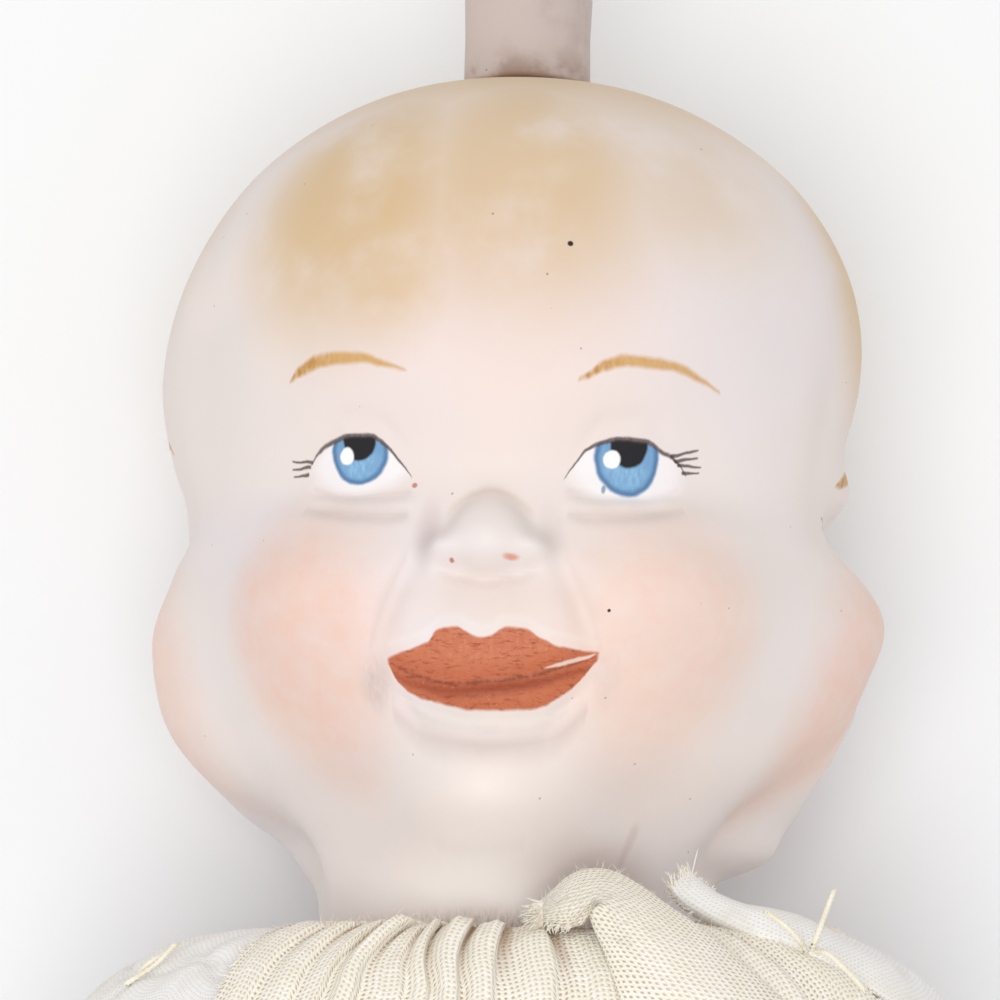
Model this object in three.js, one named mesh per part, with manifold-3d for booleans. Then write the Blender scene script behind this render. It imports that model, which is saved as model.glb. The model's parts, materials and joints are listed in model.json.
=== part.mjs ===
// Doll-head baby rattle: a three-faced bisque head that turns on a wooden spindle,
// above a stuffed cotton body that hides a rattle drum, on a turned wooden handle.
//
// Millimetres, +Z up. The rattle lies on its back: its long axis runs along Y with the
// crown towards +Y, the awake face looks up, and the cloth body rests on Z = 0.

import * as THREE from 'three';
import { mergeVertices } from 'three/addons/utils/BufferGeometryUtils.js';
import Module from 'manifold-3d';

const wasm = await Module();
wasm.setup();

// ---------------------------------------------------------------- driving dimensions

const AXIS_HEIGHT = 30;          // the long axis above the surface the body rests on
const HEAD_CENTRE = 93;          // middle of the cranium along Y, from the body's middle
const HEAD_REST_TURN = THREE.MathUtils.degToRad(-5);
const BISQUE_WALL = 2.5;
const FIT_GAP = 0.3;             // between pieces that touch on the real object

const SPINDLE_RADIUS = 4;
const BORE_RADIUS = SPINDLE_RADIUS + FIT_GAP;
const TURNING_BORE_RADIUS = SPINDLE_RADIUS + 0.4;

const POST_RADIUS = 5.65;        // the knob on the crown that turns the head
const POST_HEIGHT = 16;
const POST_SPIGOT_RADIUS = 4.4;
const POST_SPIGOT_LENGTH = 8;
const CORK_RADIUS = 9;
const CORK_THICKNESS = 4;

const PLUG_RADIUS = 12.1;        // the wooden plug in the neck's mouth
const PLUG_LENGTH = 7;
const PIN_RADIUS = 0.9;
const PIN_LENGTH = 15;
const LEATHER_RADIUS = 8.5;
const LEATHER_THICKNESS = 1.2;
const FELT_RADIUS = 14.6;
const FELT_THICKNESS = 1.6;
const CUP_RADIUS = 17.9;
const CUP_BORE_RADIUS = 16.5;
const CUP_LIP = 2;               // how far the cup reaches up round the neck

const NECK_BOTTOM = -54;         // heights on the head, from the cranium's centre
const CROWN_RIM = 29.8;

const DRUM_RADIUS = 22;
const DRUM_WALL = 1.4;
const DRUM_TOP = 33;
const DRUM_BOTTOM = -17;
const LID_THICKNESS = 4;

const TACKS_PER_LID = 3;
const TACK_RADIUS = 0.55;
const TACK_HEAD_RADIUS = 1.4;

const PEA_COUNT = 5;
const PEA_RADIUS = 3.2;

const CLOTH = 1.4;               // cotton cover with its seam allowance
const GAUZE = 1.1;
const NECK_THREAD_RADIUS = 0.4;
const HEM_THREAD_RADIUS = 0.5;
const STITCH_RADIUS = 0.3;

const HANDLE_END = -147;
const HANDLE_BALL_RADIUS = 11;
const HANDLE_NECK_RADIUS = 7;
const COLLAR_RADIUS = 12.6;
const COLLAR_TOP = -53.4;
const COLLAR_BOTTOM = -58.4;

const TURN_SEGMENTS = 28;

// ---------------------------------------------------------------- materials

function matte(color, roughness = 0.8) {
  return new THREE.MeshStandardMaterial({ color, roughness, metalness: 0 });
}

const COLOURS = {
  bisque: 0xece3df,
  post: 0xc9c2c4,
  beech: 0xc9a36b,
  dowel: 0xd8bd8b,
  card: 0xa98a62,
  cork: 0xb98a5a,
  felt: 0x8f8a80,
  leather: 0x6d4a2f,
  cotton: 0xf1ede4,
  gauze: 0xe9dfc6,
  wadding: 0xe6dcc4,
  thread: 0xe3d6b6,
  pea: 0xb9a35a,
};

const rattle = new THREE.Group();
rattle.name = 'doll_head_rattle';

// ---------------------------------------------------------------- geometry helpers

/** Welds a geometry, drops empty triangles, and makes its faces point outwards. */
function tidySolid(source) {
  const bare = new THREE.BufferGeometry();
  bare.setAttribute('position', source.getAttribute('position').clone());
  const sourceIndex = source.getIndex();
  if (sourceIndex) bare.setIndex(sourceIndex.clone());
  const welded = mergeVertices(bare, 1e-4);
  const position = welded.getAttribute('position');
  const index = welded.getIndex();
  const a = new THREE.Vector3();
  const b = new THREE.Vector3();
  const c = new THREE.Vector3();
  const kept = [];
  let volume = 0;
  for (let i = 0; i < index.count; i += 3) {
    const [i0, i1, i2] = [index.getX(i), index.getX(i + 1), index.getX(i + 2)];
    if (i0 === i1 || i1 === i2 || i2 === i0) continue;
    kept.push(i0, i1, i2);
    a.fromBufferAttribute(position, i0);
    b.fromBufferAttribute(position, i1);
    c.fromBufferAttribute(position, i2);
    volume += a.dot(b.cross(c));
  }
  if (volume < 0) kept.reverse();
  welded.setIndex(kept);
  welded.computeVertexNormals();
  return welded;
}

function addPiece(name, geometry, material) {
  const mesh = new THREE.Mesh(tidySolid(geometry), material);
  mesh.name = name;
  rattle.add(mesh);
  return mesh;
}

/** Turns a profile of [radius, y] points about the rattle's long axis. */
function turned(profile, segments = TURN_SEGMENTS) {
  const points = profile.map(([radius, y]) => new THREE.Vector2(radius, y));
  const startsOnAxis = profile[0][0] === 0;
  if (!startsOnAxis) points.push(points[0].clone());
  const geometry = new THREE.LatheGeometry(points, segments);
  geometry.translate(0, 0, AXIS_HEIGHT);
  return geometry;
}

/** A plain ring between two radii and two heights along Y. */
function ring(innerRadius, outerRadius, bottom, top, segments = TURN_SEGMENTS) {
  return turned([
    [innerRadius, bottom],
    [outerRadius, bottom],
    [outerRadius, top],
    [innerRadius, top],
  ], segments);
}

/** Skins a list of rings of points. closedPath joins the last ring to the first. */
function skinRings(rings, { closedPath }) {
  const sides = rings[0].length;
  const positions = rings.flat().flatMap((point) => [point.x, point.y, point.z]);
  const index = [];
  const bands = closedPath ? rings.length : rings.length - 1;
  for (let band = 0; band < bands; band += 1) {
    const lower = band * sides;
    const upper = ((band + 1) % rings.length) * sides;
    for (let side = 0; side < sides; side += 1) {
      const next = (side + 1) % sides;
      index.push(lower + side, lower + next, upper + next);
      index.push(lower + side, upper + next, upper + side);
    }
  }
  const geometry = new THREE.BufferGeometry();
  geometry.setAttribute('position', new THREE.Float32BufferAttribute(positions, 3));
  geometry.setIndex(index);
  return geometry;
}

function toManifold(geometry) {
  const solid = tidySolid(geometry);
  return new wasm.Manifold(new wasm.Mesh({
    numProp: 3,
    vertProperties: new Float32Array(solid.getAttribute('position').array),
    triVerts: new Uint32Array(solid.getIndex().array),
  }));
}

/** Cuts each of the tools out of a solid. */
function cut(geometry, tools) {
  let result = toManifold(geometry);
  for (const tool of tools) result = result.subtract(toManifold(tool));
  const mesh = result.getMesh();
  const output = new THREE.BufferGeometry();
  output.setAttribute('position', new THREE.Float32BufferAttribute(mesh.vertProperties, 3));
  output.setIndex(Array.from(mesh.triVerts));
  return output;
}

/** A rod of the given radius between two distances from the axis, at an angle round it. */
function radialRod(radius, innerDistance, outerDistance, angle, y, segments = 10) {
  const rod = new THREE.CylinderGeometry(radius, radius, outerDistance - innerDistance, segments);
  rod.translate(0, (innerDistance + outerDistance) / 2, 0);
  rod.rotateX(Math.PI / 2);
  rod.rotateY(angle);
  rod.translate(0, y, AXIS_HEIGHT);
  return rod;
}

/** A curve through evenly spaced rows of numbers, sampled at a fractional row. */
function sampleRows(rows, t) {
  const last = rows.length - 1;
  const i = Math.min(Math.floor(t), last - 1);
  const w = t - i;
  const [r0, r1] = [rows[Math.max(i - 1, 0)], rows[i]];
  const [r2, r3] = [rows[i + 1], rows[Math.min(i + 2, last)]];
  return r1.map((value, k) => {
    const startSlope = (r2[k] - r0[k]) / 2;
    const endSlope = (r3[k] - value) / 2;
    return (2 * value - 2 * r2[k] + startSlope + endSlope) * w ** 3
      + (3 * (r2[k] - value) - 2 * startSlope - endSlope) * w ** 2
      + startSlope * w
      + value;
  });
}

// ---------------------------------------------------------------- the three-faced head

// Height, then the radius at a face's middle, at its cheek, and between two faces.
const HEAD_PROFILE = [
  [CROWN_RIM, 4.8, 4.8, 4.8],
  [27.9, 13.0, 13.0, 13.0],
  [24.4, 20.1, 19.9, 19.6],
  [19.2, 25.8, 25.5, 25.1],
  [12.0, 29.6, 29.4, 28.8],
  [3.5, 31.3, 31.0, 29.4],
  [-4.0, 30.4, 29.6, 28.8],
  [-10.0, 29.0, 28.0, 27.8],
  [-14.5, 29.2, 30.0, 28.3],
  [-20.0, 30.0, 31.6, 28.8],
  [-26.0, 29.6, 29.6, 27.2],
  [-31.5, 28.0, 25.6, 24.0],
  [-36.0, 24.4, 21.0, 20.0],
  [-39.5, 21.6, 18.6, 17.6],
  [-43.5, 18.8, 16.8, 16.4],
  [-48.5, 16.0, 15.6, 15.6],
  [NECK_BOTTOM, 15.0, 15.0, 15.0],
];

const [AWAKE, CRYING, SLEEPING] = [0, 1, 2];
const EVERY_FACE = [AWAKE, CRYING, SLEEPING];

// Swellings and hollows: faces, distance from the face's middle, height, half width,
// half height, how far it stands out. A bump beside the middle is on both sides.
const HEAD_BUMPS = [
  { faces: EVERY_FACE, x: 0, z: -15.8, wide: 3.2, high: 3.2, out: 3.4 },   // nose
  { faces: EVERY_FACE, x: 11.5, z: -9.5, wide: 6.0, high: 3.6, out: -1.0 }, // eye socket
  { faces: EVERY_FACE, x: 0, z: -23.5, wide: 8.0, high: 6.0, out: 1.3 },   // muzzle
  { faces: [AWAKE], x: 0, z: -37.8, wide: 8.0, high: 3.8, out: 4.2 },      // chin
  { faces: [CRYING], x: 0, z: -36.5, wide: 9.0, high: 4.5, out: 2.2 },
  { faces: [CRYING], x: 0, z: -1, wide: 26, high: 9, out: -2.3 },          // low forehead
  { faces: [CRYING], x: 13, z: -16.5, wide: 7.0, high: 4.0, out: 1.4 },    // screwed cheek
  { faces: [CRYING], x: 13, z: -34.5, wide: 9.0, high: 5.5, out: -2.2 },
  { faces: [CRYING], x: 14, z: -36.0, wide: 9.0, high: 2.6, out: -0.9 },
  { faces: [CRYING], x: 14, z: -40.0, wide: 8.0, high: 1.5, out: 1.5 },    // edge of the jaw
  { faces: [CRYING], x: 14, z: -24.0, wide: 8.0, high: 8.0, out: -0.6 },
  { faces: [SLEEPING], x: 0, z: -4, wide: 26, high: 9, out: 1.4 },         // smooth forehead
  { faces: [SLEEPING], x: 18, z: -29.5, wide: 9.0, high: 6.5, out: 1.9 },  // slack cheek
  { faces: [SLEEPING], x: 14, z: -38.0, wide: 12.0, high: 4.0, out: -2.0 },
  { faces: [SLEEPING], x: 14, z: -38.0, wide: 9.0, high: 2.0, out: -2.2 },
  { faces: [SLEEPING], x: 0, z: 8, wide: 26, high: 6, out: 0.7 },
];
const FACE_RADIUS = 30;          // turns an angle into a distance across a face

/** How far the head's surface stands out at an angle from the awake face. */
function headRadius([height, middle, cheek, valley], angle) {
  const step = (2 * Math.PI) / 3;
  const turns = Math.round(angle / step);
  const face = ((turns % 3) + 3) % 3;
  const offset = angle - turns * step;
  const average = (middle + valley) / 2;
  const lobes = (middle - valley) / 2;
  const cheeks = (average - cheek) / 2;
  let radius = (average + cheek) / 2
    + lobes * Math.cos(3 * offset)
    + cheeks * Math.cos(6 * offset);
  for (const bump of HEAD_BUMPS) {
    if (!bump.faces.includes(face)) continue;
    const across = (Math.abs(offset) * FACE_RADIUS - bump.x) / bump.wide;
    const up = (height - bump.z) / bump.high;
    radius += bump.out * Math.exp(-(across ** 2) - up ** 2);
  }
  return radius;
}

function headRing(height, sides, radiusAt) {
  return Array.from({ length: sides }, (_, i) => {
    const angle = (2 * Math.PI * i) / sides;
    const radius = radiusAt(angle);
    const turnedAngle = angle + HEAD_REST_TURN;
    return new THREE.Vector3(
      radius * Math.sin(turnedAngle),
      HEAD_CENTRE + height,
      AXIS_HEIGHT + radius * Math.cos(turnedAngle),
    );
  });
}

/** The hollow head: outside from the crown's hole to the neck, then inside and back up. */
function headShell() {
  const sides = 48;
  const outerRings = 32;
  const innerRings = 12;
  const lastRow = HEAD_PROFILE.length - 1;
  const rings = [];
  for (let i = 0; i <= outerRings; i += 1) {
    const row = sampleRows(HEAD_PROFILE, (lastRow * i) / outerRings);
    rings.push(headRing(row[0], sides, (angle) => headRadius(row, angle)));
  }
  for (let i = innerRings; i >= 0; i -= 1) {
    const row = sampleRows(HEAD_PROFILE, (lastRow * i) / innerRings);
    const thinnest = Math.min(row[1], row[2], row[3]);
    // The wall thins the height too, but only above the cranium's middle.
    const ceiling = BISQUE_WALL * Math.max(row[0] / CROWN_RIM, 0);
    const height = i === innerRings ? NECK_BOTTOM : row[0] - ceiling;
    const radius = i === 0 ? thinnest : thinnest - BISQUE_WALL;
    rings.push(headRing(height, sides, () => radius));
  }
  return skinRings(rings, { closedPath: true });
}

addPiece('head_shell', headShell(), matte(COLOURS.bisque, 0.62));

// The knob stands on the crown; its spigot goes down the hole into a cork collar.
const postFoot = HEAD_CENTRE + CROWN_RIM + FIT_GAP;
const spigotEnd = postFoot - POST_SPIGOT_LENGTH;
const postSegments = 24;
addPiece('crown_post', turned([
  [0, spigotEnd],
  [POST_SPIGOT_RADIUS, spigotEnd],
  [POST_SPIGOT_RADIUS, postFoot],
  [POST_RADIUS, postFoot],
  [POST_RADIUS + 0.1, postFoot + POST_HEIGHT * 0.6],
  [POST_RADIUS + 0.4, postFoot + POST_HEIGHT - 1],
  [POST_RADIUS - 0.4, postFoot + POST_HEIGHT],
  [0, postFoot + POST_HEIGHT],
], postSegments), matte(COLOURS.post, 0.65));

const corkTop = HEAD_CENTRE + CROWN_RIM - BISQUE_WALL - 1.8;
addPiece(
  'post_cork',
  ring(POST_SPIGOT_RADIUS + FIT_GAP, CORK_RADIUS, corkTop - CORK_THICKNESS, corkTop, postSegments),
  matte(COLOURS.cork, 0.9),
);

// A wooden plug in the neck's mouth carries the head on the spindle.
const neckMouth = HEAD_CENTRE + NECK_BOTTOM;
const plugBottom = neckMouth + 0.5;
const plugTop = plugBottom + PLUG_LENGTH;
addPiece(
  'neck_plug',
  ring(TURNING_BORE_RADIUS, PLUG_RADIUS, plugBottom, plugTop),
  matte(COLOURS.beech, 0.7),
);

// ---------------------------------------------------------------- spindle and neck bearing

const spindleFoot = -88;
const washerTop = plugTop + FIT_GAP + LEATHER_THICKNESS;
const pinHeight = washerTop + FIT_GAP + PIN_RADIUS;
const spindleTop = pinHeight + 6.3;

const pinHoleRadius = PIN_RADIUS + FIT_GAP;
const pinHole = new THREE.CylinderGeometry(pinHoleRadius, pinHoleRadius, SPINDLE_RADIUS * 3, 12);
pinHole.rotateZ(Math.PI / 2);
pinHole.translate(0, pinHeight, AXIS_HEIGHT);

addPiece('spindle', cut(turned([
  [0, spindleFoot],
  [SPINDLE_RADIUS - 0.6, spindleFoot],
  [SPINDLE_RADIUS, spindleFoot + 1],
  [SPINDLE_RADIUS, spindleTop - 1],
  [SPINDLE_RADIUS - 0.8, spindleTop],
  [0, spindleTop],
], 24), [pinHole]), matte(COLOURS.dowel, 0.75));

const retainingPin = new THREE.CylinderGeometry(PIN_RADIUS, PIN_RADIUS, PIN_LENGTH, 12);
retainingPin.rotateZ(Math.PI / 2);
retainingPin.translate(0, pinHeight, AXIS_HEIGHT);
addPiece('retaining_pin', retainingPin, matte(COLOURS.dowel, 0.75));

addPiece(
  'retaining_washer',
  ring(BORE_RADIUS, LEATHER_RADIUS, plugTop + FIT_GAP, washerTop, 24),
  matte(COLOURS.leather, 0.85),
);

// The head's mouth turns on a felt washer in a turned cup, which also keeps it upright.
const feltTop = neckMouth - FIT_GAP;
const feltBottom = feltTop - FELT_THICKNESS;
const cupFloor = feltBottom - FIT_GAP;
const cupBottom = DRUM_TOP + FIT_GAP;
const cupRim = neckMouth + CUP_LIP;

addPiece(
  'neck_washer',
  ring(BORE_RADIUS, FELT_RADIUS, feltBottom, feltTop),
  matte(COLOURS.felt, 0.95),
);

addPiece('neck_cup', turned([
  [BORE_RADIUS, cupBottom],
  [CUP_RADIUS, cupBottom],
  [CUP_RADIUS, cupRim - 0.8],
  [CUP_RADIUS - 0.5, cupRim],
  [CUP_BORE_RADIUS, cupRim],
  [CUP_BORE_RADIUS, cupFloor],
  [BORE_RADIUS, cupFloor],
]), matte(COLOURS.beech, 0.7));

// ---------------------------------------------------------------- rattle drum

const drumBore = DRUM_RADIUS - DRUM_WALL;
const lidRadius = drumBore - FIT_GAP;
const tackHoleEnd = lidRadius - 6;
const lidMiddles = [DRUM_TOP - LID_THICKNESS / 2, DRUM_BOTTOM + LID_THICKNESS / 2];
const tackPlaces = lidMiddles.flatMap((y) => (
  Array.from({ length: TACKS_PER_LID }, (_, i) => ({ y, angle: (2 * Math.PI * i) / TACKS_PER_LID }))
));

function tackHoles(y) {
  return tackPlaces
    .filter((place) => place.y === y)
    .map(({ angle }) => radialRod(TACK_RADIUS + FIT_GAP, tackHoleEnd, DRUM_RADIUS + 2, angle, y));
}

const [topLidMiddle, bottomLidMiddle] = lidMiddles;
addPiece('drum_wall', cut(
  ring(drumBore, DRUM_RADIUS, DRUM_BOTTOM, DRUM_TOP, 36),
  [...tackHoles(topLidMiddle), ...tackHoles(bottomLidMiddle)],
), matte(COLOURS.card, 0.9));

for (const [name, middle] of [['drum_top', topLidMiddle], ['drum_bottom', bottomLidMiddle]]) {
  const half = LID_THICKNESS / 2;
  addPiece(name, cut(
    ring(BORE_RADIUS, lidRadius, middle - half, middle + half, 36),
    tackHoles(middle),
  ), matte(COLOURS.beech, 0.75));
}

tackPlaces.forEach(({ y, angle }, i) => {
  const tipEnd = tackHoleEnd + 1.5;
  const headFoot = DRUM_RADIUS + FIT_GAP;
  const profile = [
    new THREE.Vector2(0, tipEnd),
    new THREE.Vector2(TACK_RADIUS, tipEnd + 1),
    new THREE.Vector2(TACK_RADIUS, headFoot),
    new THREE.Vector2(TACK_HEAD_RADIUS, headFoot),
    new THREE.Vector2(TACK_HEAD_RADIUS * 0.7, headFoot + 0.5),
    new THREE.Vector2(0, headFoot + 0.7),
  ];
  const tack = new THREE.LatheGeometry(profile, 10);
  tack.rotateX(Math.PI / 2);
  tack.rotateY(angle);
  tack.translate(0, y, AXIS_HEIGHT);
  const brass = new THREE.MeshStandardMaterial({ color: 0xb08d4a, roughness: 0.4, metalness: 1 });
  addPiece(`tack_${i + 1}`, tack, brass);
});

// Dried peas lie at the bottom of the drum, each in its own stretch of its length.
const chamberTop = topLidMiddle - LID_THICKNESS / 2;
const chamberBottom = bottomLidMiddle + LID_THICKNESS / 2;
const peaPitch = (chamberTop - chamberBottom) / PEA_COUNT;
const peaDrop = drumBore - PEA_RADIUS - FIT_GAP;
for (let i = 0; i < PEA_COUNT; i += 1) {
  const pea = new THREE.SphereGeometry(PEA_RADIUS, 12, 8);
  pea.translate(0, chamberBottom + peaPitch * (i + 0.5), AXIS_HEIGHT - peaDrop);
  addPiece(`dried_pea_${i + 1}`, pea, matte(COLOURS.pea, 0.8));
}

// ---------------------------------------------------------------- stuffed cotton body

// The cover's right side from the neck edge, which is turned in and tied round the cup,
// over the shoulders to the hem tied round the handle: y, half width, half depth, and how
// much lower it runs at the front, where the neckline dips.
const BODY_PROFILE = [
  [37.0, 18.3, 18.3, 0, 0],
  [43.0, 18.4, 18.4, 0.8, 0.4],
  [45.4, 20.6, 20.0, 1.2, 1.4],
  [45.8, 25.0, 22.2, 1.5, 1.8],
  [44.2, 31.0, 24.8, 1.8, 1.5],
  [40.0, 37.0, 27.8, 1.8, 0.9],
  [31.0, 42.0, 30.8, 1.0, 0.3],
  [16.0, 45.4, 31.8, 0.2, 0],
  [0.0, 46.0, 31.8, 0, 0],
  [-16.0, 44.0, 31.6, 0, 0],
  [-30.0, 38.0, 31.0, 0, 0],
  [-40.0, 27.0, 25.0, 0, 0],
  [-45.6, 14.0, 13.6, 0, 0],
  [-47.4, 8.9, 8.9, 0, 0],
  [-52.6, 8.7, 8.7, 0, 0],
];
const BODY_SQUARENESS = 0.86;    // below 1 the cross-section is fuller than an ellipse
const LAST_BODY_ROW = BODY_PROFILE.length - 1;

/** One row of the body's profile moved off the cloth by a distance, at its own slope. */
function bodyRow(t, offset) {
  const step = 0.02;
  const before = sampleRows(BODY_PROFILE, Math.max(t - step, 0));
  const after = sampleRows(BODY_PROFILE, Math.min(t + step, LAST_BODY_ROW));
  const [y, halfWidth, halfDepth, frontDrop, hitch] = sampleRows(BODY_PROFILE, t);
  const slope = new THREE.Vector2(after[0] - before[0], after[1] - before[1]).normalize();
  const outY = slope.y;
  const outward = -slope.x;
  return [
    y + outY * offset, halfWidth + outward * offset, halfDepth + outward * offset,
    frontDrop, hitch,
  ];
}

/** A point round a body row. Nothing reaches below the level it rests on. */
function bodyPoint([y, halfWidth, halfDepth, frontDrop, hitch], angle, floor) {
  const roundness = THREE.MathUtils.smoothstep(halfWidth, 20, 34);
  const power = 1 - (1 - BODY_SQUARENESS) * roundness;
  const across = Math.sign(Math.sin(angle)) * Math.abs(Math.sin(angle)) ** power;
  const up = Math.sign(Math.cos(angle)) * Math.abs(Math.cos(angle)) ** power;
  return new THREE.Vector3(
    halfWidth * across,
    y - frontDrop * Math.max(Math.cos(angle), 0) ** 2 + hitch * Math.max(Math.sin(angle), 0) ** 2,
    Math.max(AXIS_HEIGHT + halfDepth * up, floor),
  );
}

function bodyRing(t, offset, floor, sides) {
  const row = bodyRow(t, offset);
  return Array.from({ length: sides }, (_, i) => bodyPoint(row, (2 * Math.PI * i) / sides, floor));
}

function bodyCover() {
  const sides = 40;
  const rows = 22;
  const rings = [];
  // Down the outside of the cloth, then up its inside.
  for (let i = 0; i <= rows; i += 1) {
    rings.push(bodyRing((LAST_BODY_ROW * i) / rows, 0, 0, sides));
  }
  for (let i = rows; i >= 0; i -= 1) {
    rings.push(bodyRing((LAST_BODY_ROW * i) / rows, -CLOTH, CLOTH, sides));
  }
  return skinRings(rings, { closedPath: true });
}

addPiece('body_cover', bodyCover(), matte(COLOURS.cotton, 0.95));

// Wadding fills the cover round the drum, from the shoulders down to the handle's neck.
function wadding() {
  const sides = 32;
  const first = 5.2;               // rows of the body's profile
  const last = 11.2;
  const rows = 12;
  const layer = CLOTH + 3 * FIT_GAP;
  const drumClearance = DRUM_RADIUS + 1.4;
  const neckClearance = HANDLE_NECK_RADIUS + 2 * FIT_GAP;
  const rings = [];
  for (let i = 0; i <= rows; i += 1) {
    rings.push(bodyRing(first + ((last - first) * i) / rows, -layer, layer, sides));
  }
  const topY = bodyRow(first, -layer)[0];
  const bottomY = bodyRow(last, -layer)[0];
  const insideWall = [
    [neckClearance, bottomY],
    [neckClearance, DRUM_BOTTOM - FIT_GAP],
    [drumClearance, DRUM_BOTTOM - FIT_GAP],
    [drumClearance, topY],
  ];
  for (const [radius, y] of insideWall) {
    rings.push(Array.from({ length: sides }, (_, i) => {
      const angle = (2 * Math.PI * i) / sides;
      return new THREE.Vector3(
        radius * Math.sin(angle), y, AXIS_HEIGHT + radius * Math.cos(angle),
      );
    }));
  }
  return skinRings(rings, { closedPath: true });
}

addPiece('wadding', wadding(), matte(COLOURS.wadding, 1));

// The gauze bib lies on the shoulders and chest, gathered along its neck edge. Each row is
// a row of the body's profile, and how many degrees the bib reaches to the left and right.
const BIB_EDGES = [
  [2.1, 50, 46],
  [4.8, 39, 54],
  [7.6, 38, 50],
];

function gauzeBib() {
  const across = 20;
  const down = 12;
  const layers = [FIT_GAP + 0.1, FIT_GAP + 0.1 + GAUZE];
  // Each ring goes once round the bib's thin section at one place along the body.
  const rings = [];
  for (let j = 0; j <= down; j += 1) {
    const [t, left, right] = sampleRows(BIB_EDGES, ((BIB_EDGES.length - 1) * j) / down);
    const [under, over] = layers.map((offset) => (
      Array.from({ length: across + 1 }, (_, i) => {
        const degrees = THREE.MathUtils.lerp(-left, right, i / across);
        return bodyPoint(bodyRow(t, offset), THREE.MathUtils.degToRad(degrees), 0);
      })
    ));
    rings.push([...over, ...under.reverse()]);
  }
  const geometry = skinRings(rings, { closedPath: false });
  // The two ends are closed by strips between the over and under layers.
  const index = Array.from(geometry.getIndex().array);
  const sides = rings[0].length;
  for (const [start, flip] of [[0, false], [down * sides, true]]) {
    for (let i = 0; i < across; i += 1) {
      const quad = [start + i, start + i + 1, start + sides - 2 - i, start + sides - 1 - i];
      if (flip) quad.reverse();
      index.push(quad[0], quad[2], quad[1], quad[0], quad[3], quad[2]);
    }
  }
  geometry.setIndex(index);
  return geometry;
}

addPiece('gauze_bib', gauzeBib(), matte(COLOURS.gauze, 0.95));

// Threads: one ties the cover round the cup, one ties its hem, two tack the shoulders.
function threadRing(radius, y, thickness) {
  const thread = new THREE.TorusGeometry(radius, thickness, 6, 32);
  thread.rotateX(Math.PI / 2);
  thread.translate(0, y, AXIS_HEIGHT);
  return thread;
}

const neckThreadY = DRUM_TOP + 5.6;
const neckThreadReach = CUP_RADIUS + 2.7;
const hemThreadY = COLLAR_TOP + 3.2;
const hemThreadReach = HANDLE_NECK_RADIUS + 2.6;
addPiece(
  'neck_thread',
  threadRing(neckThreadReach, neckThreadY, NECK_THREAD_RADIUS),
  matte(COLOURS.thread, 0.9),
);
addPiece(
  'hem_thread',
  threadRing(hemThreadReach, hemThreadY, HEM_THREAD_RADIUS),
  matte(COLOURS.thread, 0.9),
);

// Each tacking stitch lies on the cover between two rows of its profile, beside the bib.
const stitchLift = 0.9;
const stitches = [
  { name: 'left_shoulder_stitch', degrees: -57, rows: [4.25, 4.85] },
  { name: 'right_shoulder_stitch', degrees: 72, rows: [3.6, 4.1] },
];
for (const { name, degrees, rows } of stitches) {
  const [start, end] = rows.map((t) => (
    bodyPoint(bodyRow(t, stitchLift), THREE.MathUtils.degToRad(degrees), 0)
  ));
  const along = new THREE.Vector3().subVectors(end, start);
  const turn = new THREE.Quaternion().setFromUnitVectors(
    new THREE.Vector3(0, 1, 0),
    along.clone().normalize(),
  );
  const stitch = new THREE.CylinderGeometry(STITCH_RADIUS, STITCH_RADIUS, along.length(), 8);
  stitch.applyQuaternion(turn);
  stitch.translate(...start.add(end).multiplyScalar(0.5).toArray());
  addPiece(name, stitch, matte(COLOURS.thread, 0.9));
}

// ---------------------------------------------------------------- handle

const collarBore = HANDLE_NECK_RADIUS + FIT_GAP;
const collarBead = 1.4;
addPiece('handle_collar', turned([
  [collarBore, COLLAR_BOTTOM],
  [COLLAR_RADIUS - 2, COLLAR_BOTTOM],
  [COLLAR_RADIUS - 0.4, COLLAR_BOTTOM + collarBead],
  [COLLAR_RADIUS, (COLLAR_TOP + COLLAR_BOTTOM) / 2],
  [COLLAR_RADIUS - 0.4, COLLAR_TOP - collarBead],
  [COLLAR_RADIUS - 2, COLLAR_TOP],
  [collarBore, COLLAR_TOP],
]), matte(COLOURS.beech, 0.6));

// One turned piece: its neck goes up inside the cover to carry the drum.
function handleGrip() {
  const ballCentre = HANDLE_END + HANDLE_BALL_RADIUS - 1;
  const ballFoot = THREE.MathUtils.degToRad(-58);
  const ballTop = THREE.MathUtils.degToRad(50);
  const ballSteps = 6;
  const profile = [[0, HANDLE_END], [4.6, HANDLE_END]];
  for (let i = 1; i <= ballSteps; i += 1) {
    const angle = THREE.MathUtils.lerp(ballFoot, ballTop, i / ballSteps);
    profile.push([
      HANDLE_BALL_RADIUS * Math.cos(angle),
      ballCentre + HANDLE_BALL_RADIUS * Math.sin(angle),
    ]);
  }
  const shoulder = COLLAR_BOTTOM - FIT_GAP;
  const drumSeat = DRUM_BOTTOM - FIT_GAP;
  const socketEnd = spindleFoot - 2 * FIT_GAP;
  profile.push(
    [6.0, ballCentre + HANDLE_BALL_RADIUS],
    [6.6, -118],
    [8.2, -98],
    [8.6, -84],
    [7.4, -68],
    [6.8, -63],
    [8.8, -60.6],
    [8.8, shoulder],
    [HANDLE_NECK_RADIUS, shoulder],
    [HANDLE_NECK_RADIUS, drumSeat],
    [BORE_RADIUS, drumSeat],
    [BORE_RADIUS, socketEnd],
    [0, socketEnd],
  );
  return turned(profile);
}

addPiece('handle_grip', handleGrip(), matte(COLOURS.beech, 0.6));

export default rattle;
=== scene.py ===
"""The looks of the doll-head rattle: bisque head, cloth body, gauze bib and turned handle."""

import json
import math

import bpy
import numpy as np
from mathutils import Matrix, Vector


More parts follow.
